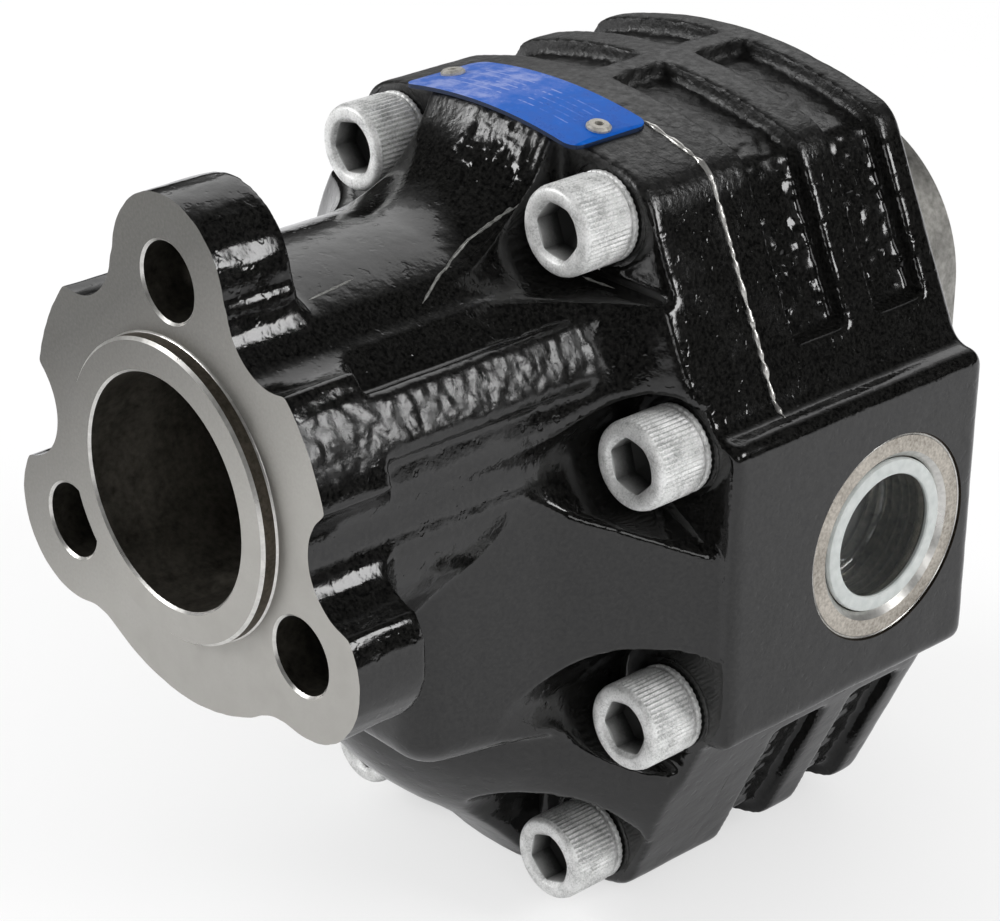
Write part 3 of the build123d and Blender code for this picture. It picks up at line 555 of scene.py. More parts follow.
def socket_material():
    # painted shade: the socket darkens unevenly from light grey at its mouth to near black at its foot
    mat, tree, shader = new_material("screw_socket_painted_shade")
    co = object_coord(tree)
    parts = separate(tree, co)
    shader.inputs["Metallic"].default_value = 0.6
    shader.inputs["Roughness"].default_value = 0.42
    uneven = product(tree, [noise_node(tree, co, 900, 4, 0.7), 0.3])
    depth = math_node(tree, "ADD", span(tree, parts.outputs["Y"], 0.0, 0.007), uneven)
    shades = [(0.15, (0.55, 0.552, 0.545)), (0.5, (0.26, 0.262, 0.258)),
              (0.8, (0.07, 0.071, 0.069)), (1.0, (0.03, 0.03, 0.029))]
    tree.links.new(colour_ramp(tree, depth, shades), shader.inputs["Base Color"])
    bump(tree, shader, [(noise_node(tree, co, 1500, 3), 0.4, 0.03)])
    return mat


def plain(name, colour, roughness, metallic=0.0, grain=900, depth=0.02, spread=0.12, **sockets):
    mat, tree, shader = new_material(name)
    co = object_coord(tree)
    n = noise_node(tree, co, grain, 4, 0.6)
    low = tuple(c * (1 - spread) for c in colour)
    high = tuple(min(1, c * (1 + spread)) for c in colour)
    tree.links.new(colour_ramp(tree, n, [(0.3, low), (0.7, high)]), shader.inputs["Base Color"])
    rough = colour_ramp(tree, n, [(0.3, (roughness * 0.85,) * 3), (0.7, (min(1, roughness * 1.15),) * 3)])
    tree.links.new(rough, shader.inputs["Roughness"])
    shader.inputs["Metallic"].default_value = metallic
    for key, value in sockets.items():
        shader.inputs[key.replace("_", " ")].default_value = value
    bump(tree, shader, [(n, 0.3, depth)])
    return mat


# Mould flash on the cover: runs of points in millimetres and the thickness of the thread
SCALLOP_RIM = [(17.7, 69, 43.7), (17.6, 62.8, 41.7), (17.8, 56.1, 39.7), (18.3, 52.5, 37.8),
               (19.2, 48.2, 35.9), (20.7, 44.3, 33.8), (22.1, 41.1, 32.4)]
NECK_FLASH = [(15.3, 19.7, 36.9), (14.6, 26, 37.2), (13.9, 32.3, 37.5)]
BELL_FLASH = [(27.6, 76.3, 29.9), (31.5, 76.6, 29.8), (35.9, 77.0, 29.7)]
FLASHES = [(SCALLOP_RIM, 0.38), (NECK_FLASH, 0.25), (BELL_FLASH, 0.33)]

PAINT = paint_material()
# the flange face is lighter towards one side: a painted sheen standing in for the light's reflection
FACE_SHEEN = ((0.6, 0.0, -0.8), -36, 14, 0.62)
FACE = machined_iron("milled_flange_face", (0.12, 0.118, 0.11), (0.4, 0.39, 0.365), 0.4, 0.6,
                     fine=1500, slope=FACE_SHEEN)
IRON = machined_iron("machined_flange_iron", (0.2, 0.195, 0.18), (0.42, 0.41, 0.385), 0.36, 0.58, turned=True)
# chamfers and edges in a lighter copy of the machined iron: a painted highlight where they catch the light
IRON_EDGE = machined_iron("turned_edge_painted_highlight", (0.5, 0.49, 0.47), (0.72, 0.71, 0.68), 0.25, 0.4)
# the pilot's round wall in a much darker copy of the machined iron: painted shade
PILOT_WALL = machined_iron("pilot_wall_painted_shade", (0.05, 0.044, 0.034), (0.14, 0.12, 0.095), 0.4, 0.6,
                           fine=1200)
BORE = machined_iron("dark_bored_iron", (0.05, 0.046, 0.038), (0.12, 0.11, 0.092), 0.4, 0.6, turned=True)
HOLE = machined_iron("drilled_hole_iron", (0.02, 0.018, 0.015), (0.07, 0.064, 0.052), 0.45, 0.65)
SEAT = machined_iron("spotfaced_port_iron", (0.26, 0.235, 0.2), (0.6, 0.56, 0.5), 0.4, 0.55, fine=1500)
# the spotface's recessed wall in a near-black copy of the iron: painted shade
SEAT_WALL = machined_iron("seat_wall_painted_shade", (0.02, 0.016, 0.012), (0.06, 0.048, 0.036), 0.45, 0.6,
                          fine=1200)
# flash ridges lighter than the paint: paint rubbed thin on them, lightened further as a painted highlight
RIDGE_RUB_AND_HIGHLIGHT = plain("rubbed_ridge_painted_highlight", (0.2, 0.2, 0.19), 0.38, 0.4, grain=1200, depth=0.05, spread=0.6)
FLAKE = flake_steel()
SOCKET = socket_material()
THREAD = machined_iron("tapped_thread_iron", (0.1, 0.088, 0.07), (0.34, 0.3, 0.24), 0.3, 0.45)
STEEL = plain("ground_shaft_steel", (0.55, 0.55, 0.56), 0.25, 1.0)
SPRING = plain("phosphated_spring_steel", (0.07, 0.07, 0.075), 0.45, 0.7)
ALLOY = plain("machined_plate_alloy", (0.62, 0.61, 0.6), 0.35, 1.0)
BRONZE = plain("bearing_bronze", (0.5, 0.34, 0.18), 0.35, 0.9)
RUBBER = plain("nitrile_seal_rubber", (0.012, 0.012, 0.013), 0.55)
BACKUP = plain("backup_ring_plastic", (0.72, 0.69, 0.6), 0.5)
RIVET = plain("rolled_rivet_alloy", (0.5, 0.48, 0.44), 0.55, 0.7, grain=1600, depth=0.04, spread=0.3)


# Front cover casting
def front_cover():
    pieces = [cad_copy("front_cover", "rough_cover")]
    # stock ahead of the machined faces and in every machined hole, so that their edges are cut crisp
    pieces.append(stretched_slice("front_cover", 4, 12, -3, 12))
    pieces.append(stretched_slice("front_cover", 90, 95, 90, 99.5))
    pieces.append(rod("bore_fill", NECK_BORE_R + 4, -3, 98))
    pieces.append(rod("rear_fill", BUSH_R + 1.5, 60, 99.5, 0, -AXIS_GAP))
    for x, z in SCREWS:
        pieces.append(rod("screw_fill", 8, COVER_FACE_Y, 99.5, x, z))
    for side in (1, -1):
        pieces.append(rod("dowel_fill", 5, 86, 99.5, side * DOWEL_X, MID_Z))
    for x, z in MOUNT_HOLES:
        pieces.append(rod("mount_fill", MOUNT_HOLE_R + 1.6, -3, MOUNT_HOLE_END_Y, x, z))
    for side in (1, -1):
        pieces.append(rod("rivet_fill", 2.2, RIVET_Y - 2.2, RIVET_Y + 2.2, side * RIVET_X, CROWN_TOP_Z - 5))
    casting = join("cover_casting", pieces)
    as_cast(casting, 9)
    roughen_cover(casting)
    thin(casting)
    keep_inside(casting)
    casting.data.materials.clear()
    casting.data.materials.append(PAINT)

    cut(casting, box("face_cut", (-90, -20, -90), (90, 0, 90)), FACE)
    cut(casting, box("joint_cut", (-90, JOINT_Y, -150), (90, 120, 90)), IRON)
    pilot = lathe("pilot", [(2, 0), (2, PILOT_R + 0.35), (0, PILOT_R + 0.35), (-0.12, PILOT_R + 0.3),
                            (-0.35, PILOT_R), (0.6 - PILOT_HEIGHT, PILOT_R),
                            (-PILOT_HEIGHT, PILOT_R - 0.6), (-PILOT_HEIGHT, 0)], segments=160)
    by_slope(pilot, FACE, IRON_EDGE, PILOT_WALL)
    combine(casting, pilot, "UNION")
    top = -PILOT_HEIGHT
    bore = [(top - 2, 0), (top - 2, MOUTH_BORE_R), (6.5, MOUTH_BORE_R), (8.5, NECK_BORE_R),
            (SEAL_FLOOR_Y, NECK_BORE_R), (SEAL_FLOOR_Y, 0)]
    cut(casting, lathe("bore", bore, segments=160), BORE)
    mouth = [(top - 1, 0), (top - 1, MOUTH_BORE_R + 1.4), (top + 0.5, MOUTH_BORE_R), (top + 0.5, 0)]
    cut(casting, lathe("mouth", mouth, segments=160), IRON_EDGE)
    cut(casting, rod("circlip_groove", NECK_BORE_R + 1.2, 49.5, 51.4), BORE)
    cut(casting, rod("shaft_way", 15.8, SEAL_FLOOR_Y - 1, 98), BORE)
    cut(casting, rod("bush_seat", BUSH_R, BUSH_FRONT_Y, 98), IRON)
    cut(casting, rod("bush_seat", BUSH_R, BUSH_FRONT_Y, 98, 0, -AXIS_GAP), IRON)
    spotface = [(74, 0), (74, SCREW_SPOTFACE_R), (SCREW_SEAT_Y, SCREW_SPOTFACE_R), (SCREW_SEAT_Y, 0)]
    for x, z in SCREWS:
        cut(casting, rod("screw_hole", SCREW_HOLE_R, 70, 98, x, z, 48), IRON)
        cut(casting, lathe("spotface", spotface, x, z, 64), PAINT)
    for side in (1, -1):
        cut(casting, rod("dowel_hole", DOWEL_R, 89.3, 98, side * DOWEL_X, MID_Z, 48), IRON)
    chamfer = [(-1, 0), (-1, MOUNT_HOLE_R + 1.5), (0.5, MOUNT_HOLE_R), (0.5, 0)]
    for x, z in MOUNT_HOLES:
        cut(casting, rod("mount_hole", MOUNT_HOLE_R, -5, MOUNT_HOLE_END_Y, x, z, 80), HOLE)
        cut(casting, lathe("mount_chamfer", chamfer, x, z, 80), IRON_EDGE)
    shade(casting)
    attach(casting, "housing")
    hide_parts("front_cover")
    flashes(casting)


def flash_thread(name, points, radius, casting, seed, material):
    # a thin ragged thread of mould flash or paint lying on the casting along a path
    path = []
    for p, q in zip(points, points[1:]):
        p, q = Vector(p), Vector(q)
        steps = max(1, round((q - p).length / 0.7))
        path += [p.lerp(q, k / steps) for k in range(steps)]
    path.append(Vector(points[-1]))
    seated = []
    for p in path:
        found, spot, _, _ = casting.closest_point_on_mesh(p * MM)
        seated.append(spot / MM if found and (spot / MM - p).length < 1.5 else p)
    verts, faces = [], []
    sides = 8
    for k, p in enumerate(seated):
        ahead = (seated[min(k + 1, len(seated) - 1)] - seated[max(k - 1, 0)]).normalized()
        across = ahead.cross(Vector((0.3, 0.2, 1))).normalized()
        up = across.cross(ahead)
        ragged = 0.85 + 0.8 * noise.noise(p / 1.4 + Vector((seed, 0, 0)))
        fade = min(1, (k + 0.2) / 3, (len(seated) - k - 0.8) / 3)
        for i in range(sides):
            a = 2 * math.pi * i / sides
            v = p + (across * math.cos(a) + up * math.sin(a)) * (radius * ragged * fade)
            verts.append(v * MM)
    for k in range(len(seated) - 1):
        for i in range(sides):
            j = (i + 1) % sides
            faces.append((k * sides + i, k * sides + j, (k + 1) * sides + j, (k + 1) * sides + i))
    faces.append(tuple(range(sides)))
    faces.append(tuple(len(verts) - 1 - i for i in range(sides)))
    obj = fix_normals(mesh_object(name, verts, faces))
    obj.data.materials.append(material)
    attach(obj, "housing")


def joint_outline(casting):
    # the cover's outer edge at the joint, over the right shoulder of the crown down to the port block
    co = coordinates(casting)
    co = co[np.abs(co[:, 1] - JOINT_Y) < 0.05]
    angle = np.degrees(np.arctan2(co[:, 2] - MID_Z, co[:, 0]))
    radius = np.hypot(co[:, 0], co[:, 2] - MID_Z)
    points = []
    for step in np.arange(76.0, 28.0, -1.0):
        near = np.abs(angle - step) < 0.9
        if near.any():
            k = np.flatnonzero(near)[np.argmax(radius[near])]
            points.append((co[k, 0], JOINT_Y - 0.1, co[k, 2]))
    return points


def flashes(casting):
    for i, (points, radius) in enumerate(FLASHES):
        flash_thread(f"mould_flash_{i + 1}", points, radius, casting, i * 3.7, RIDGE_RUB_AND_HIGHLIGHT)
    # the joint bead is drawn in the light edge iron: a painted highlight along the joint
    flash_thread("joint_bead", joint_outline(casting), 0.6, casting, 20.3, IRON_EDGE)


def roughen_cover(obj):
    co = coordinates(obj)
    no = normals(obj)
    angle = np.degrees(np.arctan2(co[:, 2], np.abs(co[:, 0])))
    radius = np.hypot(co[:, 0], co[:, 2])
    # coarse pebbled pads along the upper sides of the neck
    pads = ramp(angle, PAD_LOW_ANGLE - 0.5, PAD_LOW_ANGLE + 3)
    pads = pads * (1 - ramp(angle, PAD_HIGH_ANGLE - 2, PAD_HIGH_ANGLE + 1))
    pads = pads * ramp(radius, PAD_R - 2, PAD_R - 0.6) * ramp(co[:, 1], 0, 1.5)
    pads = pads * (1 - ramp(co[:, 1], PAD_END_Y - 2, PAD_END_Y + 2))
    # the bell's front below the data plate: fettled, with short ragged streaks
    web = (1 - ramp(np.abs(co[:, 0] - 7), 7, 13)) * ramp(co[:, 2], 42, 46) * (1 - ramp(co[:, 2], 57, 58.5))
    web = web * ramp(co[:, 1], 62, 67) * (1 - ramp(co[:, 1], 79, 81)) * ramp(-no[:, 1], 0.2, 0.5)
    pebble = lumps(co * np.array([0.6, 1.35, 0.6]), 2.0, 3) * 0.26 + lumps(co, 1.2, 4) * 0.1
    streak = lumps(co * np.array([1.0, 0.3, 0.3]), 1.1, 5) * 0.62 + lumps(co, 1.2, 11) * 0.3
    swell = lumps(co, 9.0, 1) * 0.09 + lumps(co, 3.2, 2) * 0.035
    sides = ramp(np.abs(no[:, 1]), 0.0, 0.2)
    lobes = (1 - ramp(co[:, 1], 13, 16)) * (1 - sides) * ramp(radius, 40.5, 42)
    swell = swell + lobes * lumps(co * np.array([1, 0.35, 1]), 2.4, 12) * 0.12
    co = co + no * (swell + pads * pebble + web * streak)[:, None]
    set_coordinates(obj, co)


# Pump body casting
def pump_body():
    shell = cad_copy("pump_body", "rough_body")
    combine(shell, box("shell_box", (-90, 90, -150), (90, BODY_END_Y, 90)), "INTERSECT")
    pieces = [shell, stretched_slice("pump_body", 100.5, 106, 94.5, 106)]
    for z in (0, -AXIS_GAP):
        pieces.append(rod("chamber_fill", CHAMBER_R + 1.5, 95, 147, 0, z))
        pieces.append(rod("bush_fill", BUSH_R + 1.5, 140, BODY_END_Y, 0, z))
    pieces.append(obround_prism("o_ring_fill", 40.5, 95, 101))
    for x, z in SCREWS:
        pieces.append(rod("tap_fill", 7.2, 95, 132, x, z))
    for side in (1, -1):
        pieces.append(rod("dowel_fill", 5, 95, 108, side * DOWEL_X, MID_Z))
        fill = [(5, 0), (5, 18.5), (62, 18.5), (62, SPOTFACE_R + 1.5),
                (BLOCK_X, SPOTFACE_R + 1.5), (BLOCK_X, 0)]
        pieces.append(port_lathe("port_fill", fill, side))
    casting = join("body_casting", pieces)
    as_cast(casting, 8)
    roughen_body(casting)
    thin(casting)
    keep_inside(casting)
    casting.data.materials.clear()
    casting.data.materials.append(PAINT)

    cut(casting, box("joint_cut", (-90, 60, -150), (90, JOINT_Y, 90)), IRON)
    boss = obround_prism("boss", BOSS_R, BODY_END_Y - 4, BOSS_END_Y, chamfer=1.2)
    boss.data.materials.append(IRON)
    combine(casting, boss, "UNION")
    for z in (0, -AXIS_GAP):
        cut(casting, rod("chamber", CHAMBER_R, 90, CHAMBER_END_Y, 0, z, 128), IRON)
        cut(casting, rod("bush_seat", BUSH_R, 90, BUSH_REAR_Y, 0, z), IRON)
        cut(casting, rod("shaft_relief", 12, 165, BUSH_REAR_Y + 3, 0, z), IRON)
    ring = obround_prism("o_ring_outer", 39.4, 90, JOINT_Y + 2.2)
    combine(ring, obround_prism("o_ring_inner", 36.2, 80, 110), "DIFFERENCE")
    cut(casting, ring, IRON)
    end = SEAT_X - THREAD_DEPTH
    bore = [(10, 0), (10, PASSAGE_R), (end - 3, PASSAGE_R), (end, THREAD_R), (75, THREAD_R), (75, 0)]
    spotface = [(SEAT_X, 0), (SEAT_X, SPOTFACE_R), (75, SPOTFACE_R), (75, 0)]
    skim = [(SEAT_X - 0.02, 0), (SEAT_X - 0.02, SPOTFACE_R - 0.75), (75, SPOTFACE_R - 0.75), (75, 0)]
    # a thin ring at the seat's edge in the light edge iron: a painted highlight
    rim = [(SEAT_X - 0.2, SPOTFACE_R - 0.5), (SEAT_X + 0.1, SPOTFACE_R - 0.8),
           (SEAT_X + 0.1, SPOTFACE_R - 0.2)]
    mouth = [(SEAT_X - 1.4, 0), (SEAT_X - 1.4, THREAD_R), (SEAT_X + 0.4, THREAD_R + 1.8),
             (SEAT_X + 0.4, 0)]
    for side in (1, -1):
        cut(casting, port_lathe("port_bore", bore, side, 128), BORE)
        cut(casting, port_lathe("spotface", spotface, side, 128), SEAT_WALL)
        cut(casting, port_lathe("seat_skim", skim, side, 128), SEAT)
        cut(casting, port_lathe("seat_rim", rim, side, 128), IRON_EDGE)
        cut(casting, port_lathe("port_mouth", mouth, side, 128), IRON_EDGE)
        cut(casting, rod("dowel_hole", DOWEL_R, 90, 105.3, side * DOWEL_X, MID_Z, 48), IRON)
    for x, z in SCREWS:
        cut(casting, rod("tapped_hole", TAPPED_HOLE_R, 90, 128.9, x, z, 48), IRON)
    shade(casting)
    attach(casting, "housing")
    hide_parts("pump_body")


def roughen_body(obj):
    co = coordinates(obj)
    no = normals(obj)
    y = co[:, 1]
    front_groove = ramp(y, 107, 108.5) * (1 - ramp(y, 120, 121.5))
    rear_groove = ramp(y, 130, 131.5) * (1 - ramp(y, 142.8, 144.2))
    height = np.abs(co[:, 2] - MID_Z)
    grooves = np.maximum(front_groove, rear_groove) * ramp(height, 42, 46)
    pebble = lumps(co, 2.4, 6) * 0.3 + lumps(co, 1.2, 7) * 0.12
    swell = lumps(co, 8.0, 8) * 0.1 + lumps(co, 3.0, 9) * 0.04
    co = co + no * (swell + grooves * pebble)[:, None]
    set_coordinates(obj, co)


# Screws and washers
def screw_head_mesh():
    # knurled socket head: a ring of fine ribs, bevelled top edge, hexagonal socket with a drilled foot
    ribs = 56
    per = 6
    segments = ribs * per
    hex_flat = 5.0
    verts, faces = [], []

    def ring_loop(y, radius_of):
        start = len(verts)
        for i in range(segments):
            a = 2 * math.pi * i / segments
            r = radius_of(a, i)
            verts.append((r * math.sin(a) * MM, y * MM, r * math.cos(a) * MM))
        return list(range(start, start + segments))

    def rib(depth):
        return lambda a, i: HEAD_R - depth * (0.5 - 0.5 * math.cos(2 * math.pi * (i % per) / per)) ** 1.4

    def round_(r):
        return lambda a, i: r

    def hexagon(flat):
        def f(a, i):
            b = (a + math.pi / 6) % (math.pi / 3) - math.pi / 6
            return flat / math.cos(b)
        return f

    def hex_blend(flat, r, t):
        h = hexagon(flat)
        return lambda a, i: min(h(a, i), r) * (1 - t) + r * t

    loops = [
        ring_loop(HEAD_HEIGHT, round_(6.0)),
        ring_loop(HEAD_HEIGHT, round_(HEAD_R - 0.7)),
        ring_loop(HEAD_HEIGHT - 0.25, round_(HEAD_R - 0.3)),
        ring_loop(HEAD_HEIGHT - 0.9, round_(HEAD_R - 0.15)),
        ring_loop(HEAD_HEIGHT - 1.2, rib(0.42)),
        ring_loop(1.5, rib(0.42)),
        ring_loop(1.15, round_(HEAD_R - 0.12)),
        ring_loop(0.6, round_(HEAD_R - 0.3)),
        ring_loop(0.2, round_(HEAD_R - 0.6)),
        ring_loop(0.0, round_(HEAD_R - 1.15)),
        ring_loop(0.0, round_(6.3)),
        ring_loop(0.15, round_(6.1)),
        ring_loop(0.8, hex_blend(hex_flat, 5.6, 0.4)),
        ring_loop(1.15, hexagon(hex_flat)),
        ring_loop(6.0, hexagon(hex_flat)),
    ]
    for low, high in zip(loops, loops[1:]):
        for i in range(segments):
            j = (i + 1) % segments
            faces.append((low[i], low[j], high[j], high[i]))
    foot = len(verts)
    verts.append((0, 7.6 * MM, 0))
    for i in range(segments):
        faces.append((loops[-1][i], loops[-1][(i + 1) % segments], foot))
    # threaded shank from under the head
    plain_end = HEAD_HEIGHT + PLAIN_SHANK
    last = ring_loop(plain_end, round_(SHANK_R))
    for i in range(segments):
        j = (i + 1) % segments
        faces.append((loops[0][j], loops[0][i], last[i], last[j]))
    pitch = 1.75
    for k in range(int((SHANK_LENGTH - PLAIN_SHANK - 1) / pitch)):
        for along, r in ((0.0, 5.1), (pitch / 2, SHANK_R), (pitch * 0.99, 5.1)):
            loop = ring_loop(plain_end + 0.4 + k * pitch + along, round_(r))
            for i in range(segments):
                j = (i + 1) % segments
                faces.append((last[j], last[i], loop[i], loop[j]))
            last = loop
    tip = len(verts)
    verts.append((0, (HEAD_HEIGHT + SHANK_LENGTH) * MM, 0))
    for i in range(segments):
        faces.append((last[(i + 1) % segments], last[i], tip))
    return verts, faces


def washer_mesh():
    # lock washer with radial ribs on both faces
    ribs = 40
    per = 4
    segments = ribs * per
    verts, faces = [], []

    def loop(r, y, tooth):
        start = len(verts)
        for i in range(segments):
            a = 2 * math.pi * i / segments
            rise = tooth * (0.5 - 0.5 * math.cos(2 * math.pi * i / per))
            verts.append((r * math.sin(a) * MM, (y + rise) * MM, r * math.cos(a) * MM))
        return list(range(start, start + segments))

    t = WASHER_THICKNESS
    loops = [loop(6.3, 0.25, 0), loop(7.0, 0.0, 0.0), loop(8.4, 0.0, 0.3), loop(8.85, 0.3, 0.25),
             loop(8.95, t / 2, 0), loop(8.85, t - 0.3, -0.25), loop(8.4, t, -0.3), loop(7.0, t, 0.0),
             loop(6.3, t - 0.25, 0)]
    for low, high in zip(loops, loops[1:] + loops[:1]):
        for i in range(segments):
            j = (i + 1) % segments
            faces.append((low[i], low[j], high[j], high[i]))
    return verts, faces


def screws():
    head = mesh_object("cover_screw", *screw_head_mesh())
    fix_normals(head)
    shade(head, 38)
    head.data.materials.append(FLAKE)
    head.data.materials.append(SOCKET)
    for face in head.data.polygons:
        spot = face.center / MM
        face.material_index = 1 if math.hypot(spot.x, spot.z) < 5.95 and 0.6 < spot.y < 8.5 else 0
    washer = mesh_object("lock_washer", *washer_mesh())
    fix_normals(washer)
    shade(washer, 38)
    washer.data.materials.append(FLAKE)
    kinds = ((head, "cover_screw", SCREW_SEAT_Y - WASHER_THICKNESS - HEAD_HEIGHT, "cover_screws"),
             (washer, "lock_washer", SCREW_SEAT_Y - WASHER_THICKNESS, "lock_washers"))
    for i, (x, z) in enumerate(SCREWS):
        turn = Matrix.Rotation(math.radians(SCREW_TURNS[i]), 4, "Y")
        for source, name, y, node in kinds:
            obj = linked(f"{name}_{i + 1}", source.data)
            obj.matrix_world = Matrix.Translation((x * MM, y * MM, z * MM)) @ turn
            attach(obj, "housing")
            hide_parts(node)
    bpy.data.objects.remove(head)
    bpy.data.objects.remove(washer)


# Ports
def plug_material(name, low, high, transmission, roughness):
    mat, tree, shader = new_material(name)
    n = noise_node(tree, object_coord(tree), 500, 3)
    tree.links.new(colour_ramp(tree, n, [(0.3, low), (0.7, high)]), shader.inputs["Base Color"])
    shader.inputs["Roughness"].default_value = roughness
    shader.inputs["Transmission Weight"].default_value = transmission
    shader.inputs["IOR"].default_value = 1.4
    bump(tree, shader, [(n, 0.12, 0.05)])
    return mat


def ports():
    milky = plug_material("milky_plug_lip", (0.6, 0.635, 0.62), (0.74, 0.77, 0.755), 0.3, 0.3)
    clear = plug_material("clear_plug_cup", (0.83, 0.86, 0.85), (0.92, 0.94, 0.93), 0.94, 0.06)
    for side, name in ((1, "right"), (-1, "left")):
        face = SEAT_X - 0.3
        rim, cup, wall, lip, depth = 16.3, 14.95, 0.8, 13.05, 14.0
        inner = cup - wall
        profile = [(face - 1.3, lip + 0.3), (face - 0.45, lip), (face - 0.12, lip + 0.18),
                   (face, lip + 0.55), (face, rim - 0.7), (face - 0.2, rim - 0.2), (face - 0.6, rim),
                   (face - 1.3, rim), (face - 1.4, rim - 0.1), (face - 1.4, cup),
                   (face - depth + 1.2, cup), (face - depth + 0.4, cup - 0.4),
                   (face - depth, cup - 1.2), (face - depth, 0), (face - depth + 0.8, 0),
                   (face - depth + 0.8, inner - 1.2), (face - depth + 1.2, inner - 0.4),
                   (face - depth + 2.0, inner), (face - 2.4, inner)]
        plug = port_lathe(f"{name}_plug_cup", profile, side, 128)
        plug.data.materials.append(milky)
        plug.data.materials.append(clear)
        for part in plug.data.polygons:
            part.material_index = 0 if abs(part.center.x) > (face - 1.5) * MM else 1
        shade(plug, 40)
        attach(plug, f"{name}_plug")
        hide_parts(f"{name}_port_plug")
        thread(name, side)


def thread(name, side):
    # internal pipe thread: one helical ridge between the bore's wall and the core diameter
    start = BLOCK_X - 2.1
    turns = int((THREAD_DEPTH - 2) / THREAD_PITCH)
    per = 72
    section = [(-0.5, THREAD_R + 0.05), (-0.12, THREAD_CORE_R), (0.12, THREAD_CORE_R), (0.5, THREAD_R + 0.05)]
    verts, faces = [], []
    total = turns * per + 1
    for k in range(total):
        a = 2 * math.pi * k / per
        along = start - 1.2 - THREAD_PITCH * k / per
        fade = min(1, k / (per / 3), (total - 1 - k) / (per / 3))
        for offset, r in section:
            rr = THREAD_R + 0.05 - (THREAD_R + 0.05 - r) * fade
            verts.append((rr * math.sin(a) * MM, (along + offset * THREAD_PITCH) * MM, rr * math.cos(a) * MM))
    n = len(section)
    for k in range(total - 1):
        for i in range(n - 1):
            faces.append((k * n + i, k * n + i + 1, (k + 1) * n + i + 1, (k + 1) * n + i))
    obj = mesh_object(f"{name}_port_thread", verts, faces)
    place(obj, 0, MID_Z, PORT_Y, TO_PORT[side])
    bm = bmesh.new()
    bm.from_mesh(obj.data)
    bmesh.ops.recalc_face_normals(bm, faces=bm.faces)
    bm.to_mesh(obj.data)
    bm.free()
    shade(obj, 35)
    obj.data.materials.append(THREAD)
    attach(obj, "housing")


# Nameplate
def plate_material():
    # deep blue enamel, lighter towards one end: a painted reflection of the light on the curved plate
    mat, tree, shader = new_material("blue_enamel_plate")
    co = object_coord(tree)
    parts = separate(tree, co)
    cloud = noise_node(tree, co, 210, 5, 0.7)
    # painted reflection: the colour lightens towards the low-X end of the plate, over a random cloud
    reach = math_node(tree, "SUBTRACT", 0.012, parts.outputs["X"])
    sheen_tone_and_lines = math_node(tree, "ADD", math_node(tree, "MULTIPLY", span(tree, reach, 0.0, 0.016), 0.36), cloud)
    # bare ruled lines, as on a plate made ready for stamping
    line = math_node(tree, "WRAP", parts.outputs["Y"], 0.0022, 0.0)
    ruled = math_node(tree, "ABSOLUTE", math_node(tree, "SUBTRACT", line, 0.0011))
    across = math_node(tree, "ABSOLUTE", parts.outputs["X"])
    ends = math_node(tree, "ABSOLUTE", math_node(tree, "SUBTRACT", across, 0.0095))
    middle = math_node(tree, "ABSOLUTE", math_node(tree, "SUBTRACT", parts.outputs["Y"], 0.0866))
    print_zone = product(tree, [span(tree, ruled, 0.0003, 0.0001), span(tree, ends, 0.0072, 0.0070),
                                span(tree, middle, 0.0057, 0.0055),
                                span(tree, noise_node(tree, co, 650, 2), 0.4, 0.56)])
    sheen_tone_and_lines = math_node(tree, "ADD", sheen_tone_and_lines, product(tree, [print_zone, 0.3]))
    shades = [(0.4, (0.0, 0.07, 0.36)), (0.62, (0.0, 0.092, 0.43)),
              (0.8, (0.06, 0.14, 0.47)), (1.0, (0.22, 0.28, 0.56))]
    tree.links.new(colour_ramp(tree, sheen_tone_and_lines, shades), shader.inputs["Base Color"])
    rough = colour_ramp(tree, sheen_tone_and_lines, [(0.4, (0.25,) * 3), (0.8, (0.5,) * 3)])
    tree.links.new(rough, shader.inputs["Roughness"])
    shader.inputs["Specular IOR Level"].default_value = 0.06
    dents = noise_node(tree, co, 260, 4, 0.6)
    grain = noise_node(tree, co, 900, 3)
    bump(tree, shader, [(dents, 0.25, 0.06), (grain, 0.2, 0.02)])
    return mat


def nameplate():
    plate = cad_copy("nameplate", "data_plate")
    plate.data.materials.append(plate_material())
    plate.data.materials.append(plain("plate_edge_shade", (0.0, 0.012, 0.05), 0.6))
    for face in plate.data.polygons:
        face.material_index = 0 if abs(face.normal.z) > 0.5 else 1
    shade(plate, 30)
    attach(plate, "housing")
    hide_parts("nameplate")


# Inner nodes keep their CAD shape
def dress_nodes():
    for names, mat in ((("drive_gear_shaft", "driven_gear_shaft", "dowel_pins"), STEEL),
                       (("front_wear_plate", "rear_wear_plate"), ALLOY),
                       (("front_plate_seal", "rear_plate_seal", "outer_shaft_seal", "inner_shaft_seal",
                         "cover_o_ring"), RUBBER),
                       (("front_backup_rings", "rear_backup_rings"), BACKUP),
                       (("drive_front_bush", "driven_front_bush", "drive_rear_bush",
                         "driven_rear_bush"), BRONZE),
                       (("seal_circlip",), SPRING), (("nameplate_rivets",), RIVET)):
        for name in names:
            node = NODES[name]
            if not node.material_slots:
                node.data.materials.append(mat)
            for slot in node.material_slots:
                slot.material = mat


